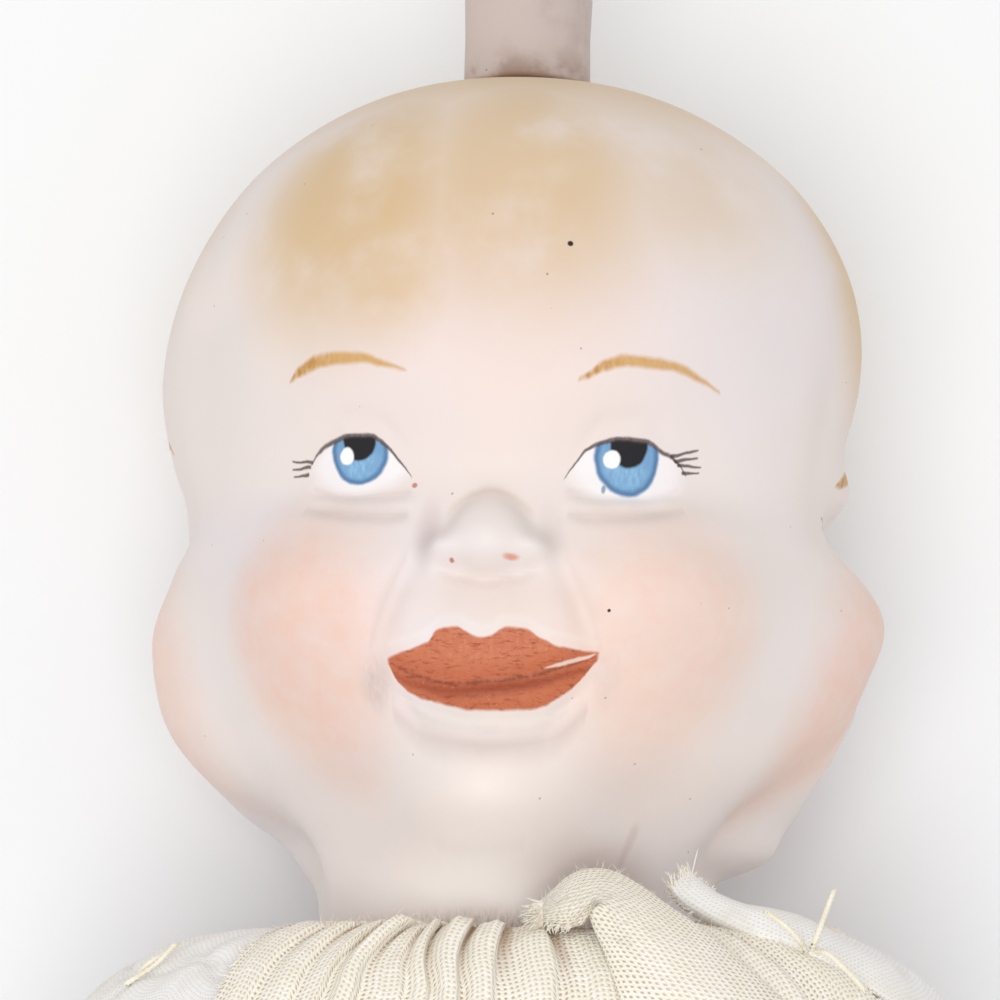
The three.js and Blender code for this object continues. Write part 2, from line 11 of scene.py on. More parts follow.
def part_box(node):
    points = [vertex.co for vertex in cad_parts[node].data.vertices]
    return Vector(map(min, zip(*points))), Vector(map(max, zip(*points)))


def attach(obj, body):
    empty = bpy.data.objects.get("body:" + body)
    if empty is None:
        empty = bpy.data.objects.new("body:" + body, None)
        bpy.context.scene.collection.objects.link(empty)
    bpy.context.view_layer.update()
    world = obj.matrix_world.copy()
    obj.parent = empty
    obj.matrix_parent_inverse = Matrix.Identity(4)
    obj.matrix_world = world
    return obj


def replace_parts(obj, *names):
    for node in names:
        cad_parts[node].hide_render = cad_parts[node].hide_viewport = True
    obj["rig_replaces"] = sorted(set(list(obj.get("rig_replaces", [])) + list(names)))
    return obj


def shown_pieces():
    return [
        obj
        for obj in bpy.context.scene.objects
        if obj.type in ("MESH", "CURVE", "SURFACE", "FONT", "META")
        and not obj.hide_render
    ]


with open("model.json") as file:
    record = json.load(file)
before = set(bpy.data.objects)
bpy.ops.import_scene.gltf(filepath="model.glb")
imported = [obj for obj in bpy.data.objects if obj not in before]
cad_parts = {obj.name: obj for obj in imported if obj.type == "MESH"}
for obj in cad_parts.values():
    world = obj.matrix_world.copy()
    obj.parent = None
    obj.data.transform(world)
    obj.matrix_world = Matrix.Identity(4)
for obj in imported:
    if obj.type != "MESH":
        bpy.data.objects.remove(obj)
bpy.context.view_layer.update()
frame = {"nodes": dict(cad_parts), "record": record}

MM = 0.001
TAU = 2 * math.pi


# ---------------------------------------------------------------- places, from the frame

def box_mm(node):
    low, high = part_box(node)
    return [value / MM for value in low], [value / MM for value in high]


spindle_low, spindle_high = box_mm("spindle")
head_low, head_high = box_mm("head_shell")
post_low, post_high = box_mm("crown_post")
hem_low, hem_high = box_mm("hem_thread")

AXIS_HEIGHT = (spindle_low[2] + spindle_high[2]) / 2
CROWN_RIM = 29.8                 # crown above the middle of the cranium, mm
HEAD_CENTRE = head_high[1] - CROWN_RIM
NECK_BOTTOM = head_low[1] - HEAD_CENTRE
HEAD_REST_TURN = math.radians(-5)
HEM_THREAD_Y = (hem_low[1] + hem_high[1]) / 2
HEM_THREAD_REACH = hem_high[0] - 0.5


# ---------------------------------------------------------------- material graphs

class Num:
    """A number in a material's node tree that Python's operators work on."""

    def __init__(self, graph, socket):
        self.graph = graph
        self.socket = socket

    def __add__(self, other):
        return self.graph.math("ADD", self, other)

    def __sub__(self, other):
        return self.graph.math("SUBTRACT", self, other)

    def __rsub__(self, other):
        return self.graph.math("SUBTRACT", other, self)

    def __mul__(self, other):
        return self.graph.math("MULTIPLY", self, other)

    def __truediv__(self, other):
        return self.graph.math("DIVIDE", self, other)

    __radd__ = __add__
    __rmul__ = __mul__


class Graph:
    """A material being painted: its coordinates, patterns, masks and colour so far."""

    def __init__(self, name, colour, roughness):
        self.material = bpy.data.materials.new(name)
        self.material.use_nodes = True
        self.tree = self.material.node_tree
        self.shader = self.tree.nodes["Principled BSDF"]
        self.shader.inputs["Roughness"].default_value = roughness
        self.colour = self.rgb(colour)
        self.height = None

    def node(self, kind, **settings):
        made = self.tree.nodes.new(kind)
        for key, value in settings.items():
            setattr(made, key, value)
        return made

    def plug(self, value, socket):
        if isinstance(value, Num):
            value = value.socket
        if isinstance(value, bpy.types.NodeSocket):
            self.tree.links.new(value, socket)
        else:
            socket.default_value = value

    def math(self, operation, *values):
        made = self.node("ShaderNodeMath", operation=operation)
        for value, socket in zip(values, made.inputs):
            self.plug(value, socket)
        return Num(self, made.outputs[0])

    def rgb(self, colour):
        """A colour given as 0 to 255 in sRGB, as a socket."""
        made = self.node("ShaderNodeRGB")
        made.outputs[0].default_value = (*[srgb(c) for c in colour], 1)
        return made.outputs[0]

    def vector(self, x, y, z=0.0):
        made = self.node("ShaderNodeCombineXYZ")
        for value, socket in zip((x, y, z), made.inputs):
            self.plug(value, socket)
        return made.outputs[0]

    def split(self, vector):
        made = self.node("ShaderNodeSeparateXYZ")
        self.plug(vector, made.inputs[0])
        return [Num(self, output) for output in made.outputs]

    def uv(self, name):
        """The two numbers of a UV map, which hold millimetres on these pieces."""
        return self.split(self.node("ShaderNodeUVMap", uv_map=name).outputs[0])[:2]

    def place(self):
        """The point's place on its piece at rest, in millimetres."""
        coords = self.node("ShaderNodeTexCoord").outputs["Object"]
        scaled = self.node("ShaderNodeVectorMath", operation="SCALE")
        self.plug(coords, scaled.inputs[0])
        scaled.inputs["Scale"].default_value = 1 / MM
        return scaled.outputs[0]

    def attribute(self, name):
        return Num(self, self.node("ShaderNodeAttribute", attribute_name=name).outputs["Fac"])

    def noise(self, where, size, detail=2.0, roughness=0.5):
        """Noise from 0 to 1 whose blotches are about size millimetres across."""
        made = self.node("ShaderNodeTexNoise")
        self.plug(where, made.inputs["Vector"])
        made.inputs["Scale"].default_value = 1 / size
        made.inputs["Detail"].default_value = detail
        made.inputs["Roughness"].default_value = roughness
        return Num(self, made.outputs[0])

    def cells(self, where, size):
        """Distance from the nearest of scattered points about size millimetres apart."""
        made = self.node("ShaderNodeTexVoronoi")
        self.plug(where, made.inputs["Vector"])
        made.inputs["Scale"].default_value = 1 / size
        colour = self.split(made.outputs["Color"])
        return Num(self, made.outputs["Distance"]), colour[0]

    def step(self, value, low, high):
        """0 below low, 1 above high, and smooth in between. low may be the higher."""
        made = self.node("ShaderNodeMapRange", interpolation_type="SMOOTHSTEP")
        self.plug(value, made.inputs["Value"])
        for name, number in (("From Min", low), ("From Max", high)):
            self.plug(number, made.inputs[name])
        return Num(self, made.outputs["Result"])

    def curve(self, value, points):
        """A smooth line through (in, out) points, level beyond its ends."""
        xs = [x for x, _ in points]
        ys = [y for _, y in points]
        x_span = max(xs) - min(xs)
        y_span = max(max(ys) - min(ys), 1e-6)
        made = self.node("ShaderNodeFloatCurve")
        line = made.mapping.curves[0]
        places = [((x - min(xs)) / x_span, (y - min(ys)) / y_span) for x, y in points]
        while len(line.points) < len(places):
            line.points.new(0.5, 0.5)
        for point, place in zip(line.points, places):
            point.location = place
            point.handle_type = "AUTO_CLAMPED"
        made.mapping.update()
        self.plug((value - min(xs)) * (1 / x_span), made.inputs["Value"])
        return Num(self, made.outputs[0]) * y_span + min(ys)

    def paint(self, colour, mask):
        """Lays a colour over what is there, as far as the mask says."""
        if isinstance(colour, tuple):
            colour = self.rgb(colour)
        made = self.node("ShaderNodeMix", data_type="RGBA")
        self.plug(mask, made.inputs[0])
        self.plug(self.colour, made.inputs[6])
        self.plug(colour, made.inputs[7])
        self.colour = made.outputs[2]

    def emboss(self, height, distance=1.0):
        """Adds a relief in millimetres to the surface's shading."""
        amount = height * distance
        self.height = amount if self.height is None else self.height + amount

    def finish(self):
        self.plug(self.colour, self.shader.inputs["Base Color"])
        if self.height is not None:
            bump = self.node("ShaderNodeBump")
            bump.inputs["Strength"].default_value = 1
            bump.inputs["Distance"].default_value = MM
            self.plug(self.height, bump.inputs["Height"])
            self.plug(bump.outputs[0], self.shader.inputs["Normal"])
        return self.material


def srgb(value):
    c = value / 255
    return c / 12.92 if c <= 0.04045 else ((c + 0.055) / 1.055) ** 2.4


# ---------------------------------------------------------------- mesh helpers

def add_mesh(name, points_mm, faces, material, body, smooth=True):
    mesh = bpy.data.meshes.new(name)
    mesh.from_pydata([tuple(p) for p in np.asarray(points_mm) * MM], [], faces)
    mesh.update()
    piece = bpy.data.objects.new(name, mesh)
    bpy.context.collection.objects.link(piece)
    if smooth:
        mesh.shade_smooth()
    mesh.materials.append(material)
    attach(piece, body)
    return piece


def grid_faces(rows, columns, wrap_rows=False, wrap_columns=False):
    """Quads over a grid of points numbered row by row."""
    row_steps = np.arange(rows if wrap_rows else rows - 1)
    column_steps = np.arange(columns if wrap_columns else columns - 1)
    i, j = np.meshgrid(row_steps, column_steps, indexing="ij")
    next_i = (i + 1) % rows
    next_j = (j + 1) % columns
    corners = [i * columns + j, next_i * columns + j, next_i * columns + next_j, i * columns + next_j]
    return np.stack([c.ravel() for c in corners], axis=1).tolist()


def around_axis(radius, y, turn):
    """Points at a radius and a turn about the long axis, 0 being straight up, and a place along it."""
    radius, y, turn = np.broadcast_arrays(radius, y, turn)
    return np.stack([radius * np.sin(turn), y, AXIS_HEIGHT + radius * np.cos(turn)], axis=-1)


def set_uv(mesh, name, corner_values):
    layer = mesh.uv_layers.new(name=name)
    layer.data.foreach_set("uv", np.asarray(corner_values, dtype=np.float32).ravel())


def sample_rows(rows, t):
    """A curve through evenly spaced rows of numbers, at fractional rows t."""
    rows = np.asarray(rows, dtype=float)
    last = len(rows) - 1
    i = np.clip(np.floor(t).astype(int), 0, last - 1)
    w = (t - i)[..., None]
    before = rows[np.maximum(i - 1, 0)]
    start = rows[i]
    end = rows[i + 1]
    after = rows[np.minimum(i + 2, last)]
    start_slope = (end - before) / 2
    end_slope = (after - start) / 2
    return (
        (2 * start - 2 * end + start_slope + end_slope) * w**3
        + (3 * (end - start) - 2 * start_slope - end_slope) * w**2
        + start_slope * w
        + start
    )


# ---------------------------------------------------------------- the three-faced head

# Height, then the radius at a face's middle, at its cheek, and between two faces.
HEAD_PROFILE = [
    (CROWN_RIM, 4.8, 4.8, 4.8),
    (27.9, 13.0, 13.0, 13.0),
    (24.4, 20.1, 19.9, 19.6),
    (19.2, 25.8, 25.5, 25.1),
    (12.0, 29.6, 29.4, 28.8),
    (3.5, 31.3, 31.0, 29.4),
    (-4.0, 30.4, 29.6, 28.8),
    (-10.0, 29.0, 28.0, 27.8),
    (-14.5, 29.2, 30.0, 28.3),
    (-20.0, 30.0, 31.6, 28.8),
    (-26.0, 29.6, 29.6, 27.2),
    (-31.5, 28.0, 25.6, 24.0),
    (-36.0, 24.4, 21.0, 20.0),
    (-39.5, 21.6, 18.6, 17.6),
    (-43.5, 18.8, 16.8, 16.4),
    (-48.5, 16.0, 15.6, 15.6),
    (NECK_BOTTOM, 15.0, 15.0, 15.0),
]
FACES = range(3)
AWAKE, CRYING, SLEEPING = FACES
FACE_RADIUS = 30                 # turns an angle into millimetres across a face
BISQUE_WALL = 2.5


def swelling(x, z, middle, height, wide, high, out):
    return out * np.exp(-(((x - middle) / wide) ** 2) - ((z - height) / high) ** 2)


def swellings(x, z, single, paired=()):
    """Several swellings added up, those of the paired ones being on both sides of the face."""
    relief = sum(swelling(x, z, *row) for row in single)
    return relief + sum(swelling(np.abs(x), z, *row) for row in paired)


def mound(x, z, middle, height, wide, high, out, steep=4):
    """A swelling with a flatter top and steeper sides."""
    reach = np.hypot((x - middle) / wide, (z - height) / high)
    return out * np.exp(-(reach**steep))


def crease(along, across, line, width, depth, fade=1.5):
    """A groove along a line of (along, across) points, fading out at its ends."""
    starts, levels = zip(*line)
    level = np.interp(along, starts, levels)
    inside = np.clip((along - starts[0]) / fade, 0, 1) * np.clip((starts[-1] - along) / fade, 0, 1)
    inside = inside * inside * (3 - 2 * inside)
    return -depth * inside * np.exp(-(((across - level) / width) ** 2))


def nose(x, z):
    """A small rounded nose: a dome that widens downwards, with wings at its foot."""
    wide = 3.2 + 0.3 * np.clip(-15.6 - z, -2.5, 3)
    relief = mound(x, z, 0.2, -15.7, wide, 3.3, 2.4, steep=5)
    single = [
        (0, -16.0, 2.2, 2.2, 1.3),          # tip
        (0, -10.0, 3.0, 1.8, -0.3),         # dip above it
    ]
    paired = [
        (3.9, -17.2, 1.3, 1.3, 1.8),        # wings
        (5.2, -14.5, 1.2, 2.4, -0.35),      # hollows beside them
        (1.9, -18.9, 0.8, 0.5, -0.4),       # nostrils
    ]
    foot = [(-4.6, -18.4), (-2.6, -19.5), (0.2, -19.9), (3.0, -19.5), (5.0, -18.4)]
    return relief + swellings(x - 0.2, z, single, paired) + crease(x, z, foot, 0.45, 0.4, fade=1.5)


def awake_relief(x, z):
    single = [
        (0, -23.5, 8.0, 6.0, 1.3),          # muzzle
        (0, -26.3, 6.5, 1.5, 0.5),          # upper lip
        (0.4, -29.6, 6.2, 1.5, 0.9),        # lower lip
        (0, -37.8, 8.0, 3.8, 4.2),          # chin
    ]
    paired = [
        (12.2, -9.6, 6.8, 3.6, -1.3),       # eye socket
        (12.4, -9.3, 5.2, 2.5, 1.15),       # eyeball
        (12.5, -2.6, 6.5, 2.2, 0.35),       # brow
        (15.5, -20.5, 7.0, 6.0, 0.9),       # cheek
        (1.5, -21.8, 0.9, 2.2, 0.18),       # philtrum
        (9.2, -26.6, 1.5, 1.5, -0.6),       # corner of the mouth
    ]
    relief = nose(x, z) + swellings(x, z, single, paired)
    parting = [(-8.5, -26.5), (-5.5, -27.8), (-1.8, -28.5), (2.2, -28.2), (6.4, -27.1), (9.2, -25.9)]
    relief += crease(x, z, parting, 0.4, 0.55)
    under_lip = [(-9.5, -28.0), (-6.0, -31.0), (0, -32.5), (5.5, -31.6), (10.0, -28.0)]
    relief += crease(x, z, under_lip, 1.2, 0.75, fade=3)
    lip_rim = [(-7.0, -25.2), (-2.6, -23.4), (0.0, -24.2), (2.1, -23.5), (7.5, -25.0)]
    relief -= crease(x, z, lip_rim, 0.5, 0.12, fade=2)
    eye_bag = [(5.5, -13.9), (9.0, -14.1), (13.0, -13.7), (18.5, -12.4)]
    lower_lid = [(6.2, -12.0), (10.0, -12.1), (14.0, -11.8), (18.5, -10.8)]
    upper_lid = [(6.8, -8.6), (9.5, -6.0), (13.5, -5.2), (17.5, -6.6)]
    smile = [(-26.5, 9.4), (-22.0, 7.9), (-17.0, 5.9)]
    for side in (-1, 1):
        relief += crease(side * x, z, eye_bag, 0.6, 0.5, fade=3)
        relief += crease(side * x, z, lower_lid, 0.5, 0.4, fade=2)
        relief += crease(side * x, z, upper_lid, 0.8, 0.25, fade=3)
        relief += crease(z, side * x, smile, 1.4, 0.8, fade=4)
    return relief


def crying_relief(x, z):
    single = [
        (0, -1, 26, 9, -2.3),               # low forehead
        (0, -23.5, 8.0, 6.0, 1.0),          # muzzle
        (0, -33.6, 15, 2.6, -1.2),          # above the chin
        (0, -36.5, 9.0, 4.5, 2.2),          # chin
        (0, -39.8, 18, 1.9, -3.2),          # under the jaw
    ]
    paired = [
        (12, -10, 6.5, 3.0, -1.2),          # eye socket
        (13, -16.5, 7.0, 4.0, 1.5),         # screwed-up cheek
        (12, -6.0, 6.5, 2.2, 1.3),          # heavy brow
        (14, -24.0, 8.0, 8.0, -0.6),        # hollow below the cheek
        (13, -34.5, 9.0, 5.5, -2.2),        # jaw
        (14, -36.0, 9.0, 2.6, -0.9),
    ]
    relief = nose(x, z) + swellings(x, z, single, paired)
    mouth = np.hypot(x / 6.6, (z + 27.8) / 4.0)
    relief -= 2.6 * np.exp(-(mouth**4))                         # open mouth
    relief += 0.6 * np.exp(-(((mouth - 1.3) / 0.4) ** 2))       # stretched lips
    shut_lids = [(5.5, -9.6), (10.0, -10.9), (14.0, -10.8), (19.0, -9.0)]
    frown = [(-9.5, 2.6), (-6.5, 1.8), (-3.0, 1.5)]
    smile = [(-30.0, 10.2), (-22.0, 8.6), (-16.5, 5.8)]
    for side in (-1, 1):
        relief += crease(side * x, z, shut_lids, 0.55, 0.8, fade=2)
        relief += crease(z, side * x, frown, 0.5, 0.45)
        relief += crease(z, side * x, smile, 1.3, 1.0, fade=4)
    return relief


def sleeping_relief(x, z):
    single = [
        (0, 8, 26, 6, 0.7),                 # smooth forehead
        (0, -4, 26, 9, 1.4),
        (0, -23.5, 7.5, 6.0, 1.3),          # muzzle
        (0, -26.2, 4.4, 1.4, 0.7),          # upper lip
        (0, -29.2, 3.8, 1.4, 0.9),          # lower lip
        (0, -36.0, 8.0, 3.8, 2.4),          # chin
        (0, -36.3, 16, 2.4, -2.3),          # jaw
        (0, -40.5, 18, 3.0, -1.0),          # under the jaw
    ]
    paired = [
        (12.2, -9.6, 6.8, 3.6, -1.2),       # eye socket
        (12.4, -9.8, 5.4, 2.9, 1.7),        # closed eye
        (18, -29.5, 9.0, 6.5, 1.9),         # slack cheek
        (14, -38.0, 12.0, 4.0, -2.0),       # below it
    ]
    relief = nose(x, z) + swellings(x, z, single, paired)
    relief += crease(x, z, [(-5.8, -28.1), (0, -27.6), (5.8, -28.1)], 0.35, 0.6)
    relief += crease(x, z, [(-6, -31.0), (0, -32.4), (6, -31.0)], 1.2, 0.7, fade=3)
    shut_lids = [(6.4, -10.6), (9.5, -12.2), (13.5, -12.6), (18.5, -10.8)]
    smile = [(-25.0, 7.6), (-21.0, 7.0), (-17.0, 5.9)]
    for side in (-1, 1):
        relief += crease(side * x, z, shut_lids, 0.4, 0.5, fade=1.5)
        relief += crease(z, side * x, smile, 1.3, 0.4, fade=4)
    return relief


RELIEFS = (awake_relief, crying_relief, sleeping_relief)
PAINT_STRIP = 100                # each face's paint lies this far from the one before it


def head_surface(face, offset, t):
    """Points on the head at an angle from a face's middle, at rows t of the profile."""
    height, middle, cheek, valley = np.moveaxis(sample_rows(HEAD_PROFILE, t), -1, 0)
    average = (middle + valley) / 2
    lobes = (middle - valley) / 2
    cheeks = (average - cheek) / 2
    radius = (average + cheek) / 2 + lobes * np.cos(3 * offset) + cheeks * np.cos(6 * offset)
    # Near the seam between two faces both have faded out.
    seam = np.clip((math.pi / 3 - np.abs(offset)) / 0.25, 0, 1)
    seam = seam * seam * (3 - 2 * seam)
    radius = radius + seam * RELIEFS[face](offset * FACE_RADIUS, height)
    angle = offset + face * TAU / 3 + HEAD_REST_TURN
    return around_axis(radius, HEAD_CENTRE + height, angle), height


def build_head(material):
    columns = {AWAKE: 200, CRYING: 112, SLEEPING: 112}
    outer_rows = 212
    inner_rows = 10
    last = len(HEAD_PROFILE) - 1
    t = np.linspace(0, last, outer_rows)
    outer = []
    paint_x = []
    paint_z = []
    for face, count in columns.items():
        offset = np.linspace(-math.pi / 3, math.pi / 3, count, endpoint=False)
        tt, oo = np.meshgrid(t, offset, indexing="ij")
        points, height = head_surface(face, oo, tt)
        outer.append(points)
        paint_x.append(oo * FACE_RADIUS + face * PAINT_STRIP)
        paint_z.append(height)
    outer = np.concatenate(outer, axis=1)
    total = outer.shape[1]
    # The inside follows the narrowest radius, one wall in, from the neck up to the crown.
    angle = np.arctan2(outer[0, :, 0], outer[0, :, 2] - AXIS_HEIGHT)
    inner = []
    for row in np.linspace(last, 0, inner_rows):
        height, *radii = sample_rows(HEAD_PROFILE, np.array([row]))[0]
        radius = min(radii) if row == 0 else min(radii) - BISQUE_WALL
        level = height - max(height, 0) / CROWN_RIM * BISQUE_WALL
        inner.append(around_axis(radius, HEAD_CENTRE + level, angle))
    points = np.concatenate([outer, np.array(inner)], axis=0)
    rows = points.shape[0]
    faces = grid_faces(rows, total, wrap_rows=True, wrap_columns=True)
    head = add_mesh("head", points.reshape(-1, 3), faces, material, "head")

    # Paint coordinates. The last column of each face ends at that face's own seam.
    x = np.concatenate(paint_x, axis=1)
    z = np.concatenate(paint_z, axis=1)
    x_next = np.roll(x, -1, axis=1)
    starts = np.cumsum([0, *columns.values()])
    for face, end in zip(columns, starts[1:]):
        x_next[:, end - 1] = math.pi / 3 * FACE_RADIUS + face * PAINT_STRIP
    pad = rows - outer_rows
    x = np.pad(x, ((0, pad), (0, 0)), mode="edge")
    x_next = np.pad(x_next, ((0, pad), (0, 0)), mode="edge")
    z = np.pad(z, ((0, pad), (0, 0)), mode="constant", constant_values=NECK_BOTTOM - 5)
    below = (np.arange(rows) + 1) % rows
    corners = np.stack(
        [
            np.stack([x, z], axis=-1),
            np.stack([x[below], z[below]], axis=-1),
            np.stack([x_next[below], z[below]], axis=-1),
            np.stack([x_next, z], axis=-1),
        ],
        axis=2,
    )
    set_uv(head.data, "paint", corners.reshape(-1, 2))
    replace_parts(head, "head_shell")
    return head


# ---------------------------------------------------------------- painting the faces

OCHRE = (203, 152, 62)
OCHRE_DARK = (168, 112, 40)
LID_BROWN = (62, 44, 40)
LIP = (192, 98, 54)
LIP_DARK = (142, 58, 30)
LIP_PARTING = (92, 38, 26)
NOSTRIL = (214, 120, 84)
BLUSH = (236, 176, 144)


class Brush:
    """Paints one face. Its x and z are millimetres across the face and up it."""

    def __init__(self, graph, x, z, streaks):
        self.graph = graph
        self.x = x
        self.z = z
        self.streaks = streaks

    def paint(self, colour, mask):
        self.graph.paint(colour, mask)

    def hypot(self, across, up):
        return self.graph.math("SQRT", across * across + up * up)

    def disc(self, middle, height, wide, high, soft=0.2):
        """A filled ellipse with a soft edge, soft being a part of its size."""
        distance = self.hypot((self.x - middle) / wide, (self.z - height) / high)
        return self.graph.step(distance, 1 + soft, 1 - soft)

    def stroke(self, start, end, width, soft=0.12):
        """A brush stroke from start to end that thins towards its end."""
        (x0, z0), (x1, z1) = start, end
        dx, dz = x1 - x0, z1 - z0
        along = ((self.x - x0) * dx + (self.z - z0) * dz) * (1 / (dx * dx + dz * dz))
        along = self.graph.math("MINIMUM", self.graph.math("MAXIMUM", along, 0.0), 1.0)
        distance = self.hypot(self.x - along * dx - x0, self.z - along * dz - z0)
        half = (1 - along * 0.65) * (width / 2)
        return self.graph.step(distance, half + soft, half - soft * 0.5)

    def within(self, start, end, fade):
        """1 between two places across the face, with its edges softened inwards."""
        step = self.graph.step
        return step(self.x, start - 0.1, start + fade) * step(self.x, end + 0.1, end - fade)

    def band(self, middle_line, half_widths, soft=0.15):
        """A line of varying width across x: both its middle and half width are curves."""
        half = self.graph.curve(self.x, half_widths)
        distance = self.graph.math("ABSOLUTE", self.z - self.graph.curve(self.x, middle_line))
        inside = self.within(middle_line[0][0], middle_line[-1][0], 0.25)
        return self.graph.step(distance, half + soft, half - soft) * inside

    def between(self, upper_line, lower_line, soft):
        step = self.graph.step
        upper = self.graph.curve(self.x, upper_line)
        lower = self.graph.curve(self.x, lower_line)
        start = max(upper_line[0][0], lower_line[0][0])
        end = min(upper_line[-1][0], lower_line[-1][0])
        inside = self.within(start, end, 0.2)
        return step(self.z, upper + soft, upper - soft) * step(self.z, lower - soft, lower + soft) * inside


def highest(masks):
    """The highest of several masks at each point."""
    first, *others = masks
    for mask in others:
        first = mask.graph.math("MAXIMUM", first, mask)
    return first


def mirror(side, points):
    """Points (across, value) given for +X, put on a side and in order from -X to +X."""
    return sorted((side * across, value) for across, value in points)


def paint_brow(brush, line, widest, dark_end):
    start, end = line[0][0], line[-1][0]
    thickness = [
        (start, 0.05),
        (start * 0.7 + end * 0.3, widest / 2),
        (start * 0.4 + end * 0.6, widest * 0.42),
        (end, 0.05),
    ]
    brow = brush.band(line, thickness, soft=0.28)
    brush.paint(OCHRE, brow * (0.62 + brush.streaks * 0.4))
    step = brush.graph.step
    brush.paint(OCHRE_DARK, brow * step(brush.x, *dark_end) * step(brush.streaks, 0.35, 0.65) * 0.7)


def paint_open_eye(brush, iris, lid, lashes):
    middle, height, wide, high = iris
    streaks = brush.streaks
    opening = brush.graph.curve(brush.x, lid)
    under_lid = brush.graph.step(brush.z, opening + 0.05, opening - 0.2)
    white = brush.disc(middle, height - 0.9, wide * 1.75, high * 0.95, soft=0.25)
    brush.paint((243, 240, 243), white * under_lid * 0.8)
    round_iris = brush.disc(middle, height, wide, high, soft=0.07) * under_lid
    brush.paint((92, 148, 196), round_iris * (0.82 + streaks * 0.18))
    glow = brush.disc(middle, height - high * 0.42, wide * 0.62, high * 0.42, soft=0.6)
    brush.paint((142, 190, 224), round_iris * glow * brush.graph.step(streaks, 0.3, 0.7))
    rim = round_iris - brush.disc(middle, height, wide * 0.86, high * 0.86, soft=0.1) * under_lid
    brush.paint((62, 106, 150), rim * 0.75)
    pupil = brush.disc(middle + 0.05, height + high * 0.36, wide * 0.58, high * 0.62, soft=0.09)
    brush.paint((22, 20, 26), pupil * under_lid)
    catch_light = brush.disc(middle - wide * 0.47, height - high * 0.08, 0.78, 0.72, soft=0.18)
    brush.paint((250, 250, 252), catch_light)
    start, end = lid[0][0], lid[-1][0]
    thickness = [
        (start, 0.07), (start * 0.65 + end * 0.35, 0.2), (start * 0.35 + end * 0.65, 0.2), (end, 0.07),
    ]
    brush.paint(LID_BROWN, brush.band(lid, thickness, soft=0.13) * (0.72 + streaks * 0.28))
    for lash_start, lash_end in lashes:
        brush.paint(LID_BROWN, brush.stroke(lash_start, lash_end, 0.26) * 0.85)


def paint_shut_lid(brush, side, lid, widest):
    thickness = mirror(side, [(lid[0][0], 0.04), (12.0, widest), (lid[-1][0], 0.05)])
    line = brush.band(mirror(side, lid), thickness, soft=0.16)
    brush.paint(LID_BROWN, line * (0.6 + brush.streaks * 0.4))


def paint_awake_lips(brush):
    step, noise, vector = brush.graph.step, brush.graph.noise, brush.graph.vector
    upper = [
        (-8.3, -26.3), (-4.6, -25.2), (-2.6, -23.95), (0.0, -24.85),
        (2.1, -24.0), (4.8, -24.9), (6.9, -25.5), (9.6, -25.6),
    ]
    lower = [
        (-8.3, -26.8), (-6.0, -29.35), (-3.4, -30.1), (-0.3, -30.65),
        (3.8, -30.45), (6.5, -29.3), (9.6, -26.1),
    ]
    parting = [
        (-8.2, -26.6), (-5.5, -27.8), (-1.8, -28.45), (2.2, -28.1), (6.4, -27.0), (9.4, -25.9),
    ]
    lips = brush.between(upper, lower, soft=0.16)
    brush.paint(LIP, lips * (0.9 + brush.streaks * 0.1))
    line = brush.graph.curve(brush.x, parting)
    worn = step(brush.z, line + 0.6, line + 2.2) * step(brush.streaks, 0.35, 0.75)
    brush.paint((216, 142, 108), lips * worn * 0.5)
    below = [(across, level - 0.75) for across, level in parting]
    deep = [(-8.2, 0.05), (-5.0, 0.35), (0.0, 0.5), (5.0, 0.4), (9.4, 0.05)]
    brush.paint(LIP_DARK, lips * brush.band(below, deep, soft=0.5) * 0.75)
    hatching = noise(vector(brush.x * 0.9, brush.z * 3.4), 1.0, detail=4, roughness=0.65)
    brush.paint(LIP_DARK, lips * step(hatching, 0.5, 0.7) * 0.7)
    grains = noise(vector(brush.x * 3.0, brush.z * 2.2), 1.0, detail=4, roughness=0.7)
    brush.paint((104, 44, 30), lips * step(grains, 0.6, 0.7) * 0.55)
    brush.paint((226, 160, 128), lips * step(grains, 0.4, 0.28) * 0.5)
    thin = [(-8.2, 0.02), (-4.0, 0.12), (2.0, 0.12), (9.4, 0.02)]
    brush.paint(LIP_PARTING, brush.band(parting, thin, soft=0.2) * step(brush.streaks, 0.2, 0.6) * 0.7)
    # The right corner of the mouth, where the two lips' paint doesn't quite meet.
    pale = [(5.0, 0.02), (7.0, 0.16), (9.4, 0.05)]
    right_gap = [(5.0, -27.15), (7.2, -26.45), (9.4, -25.75)]
    brush.paint((240, 222, 212), brush.band(right_gap, pale, soft=0.1) * 0.8)


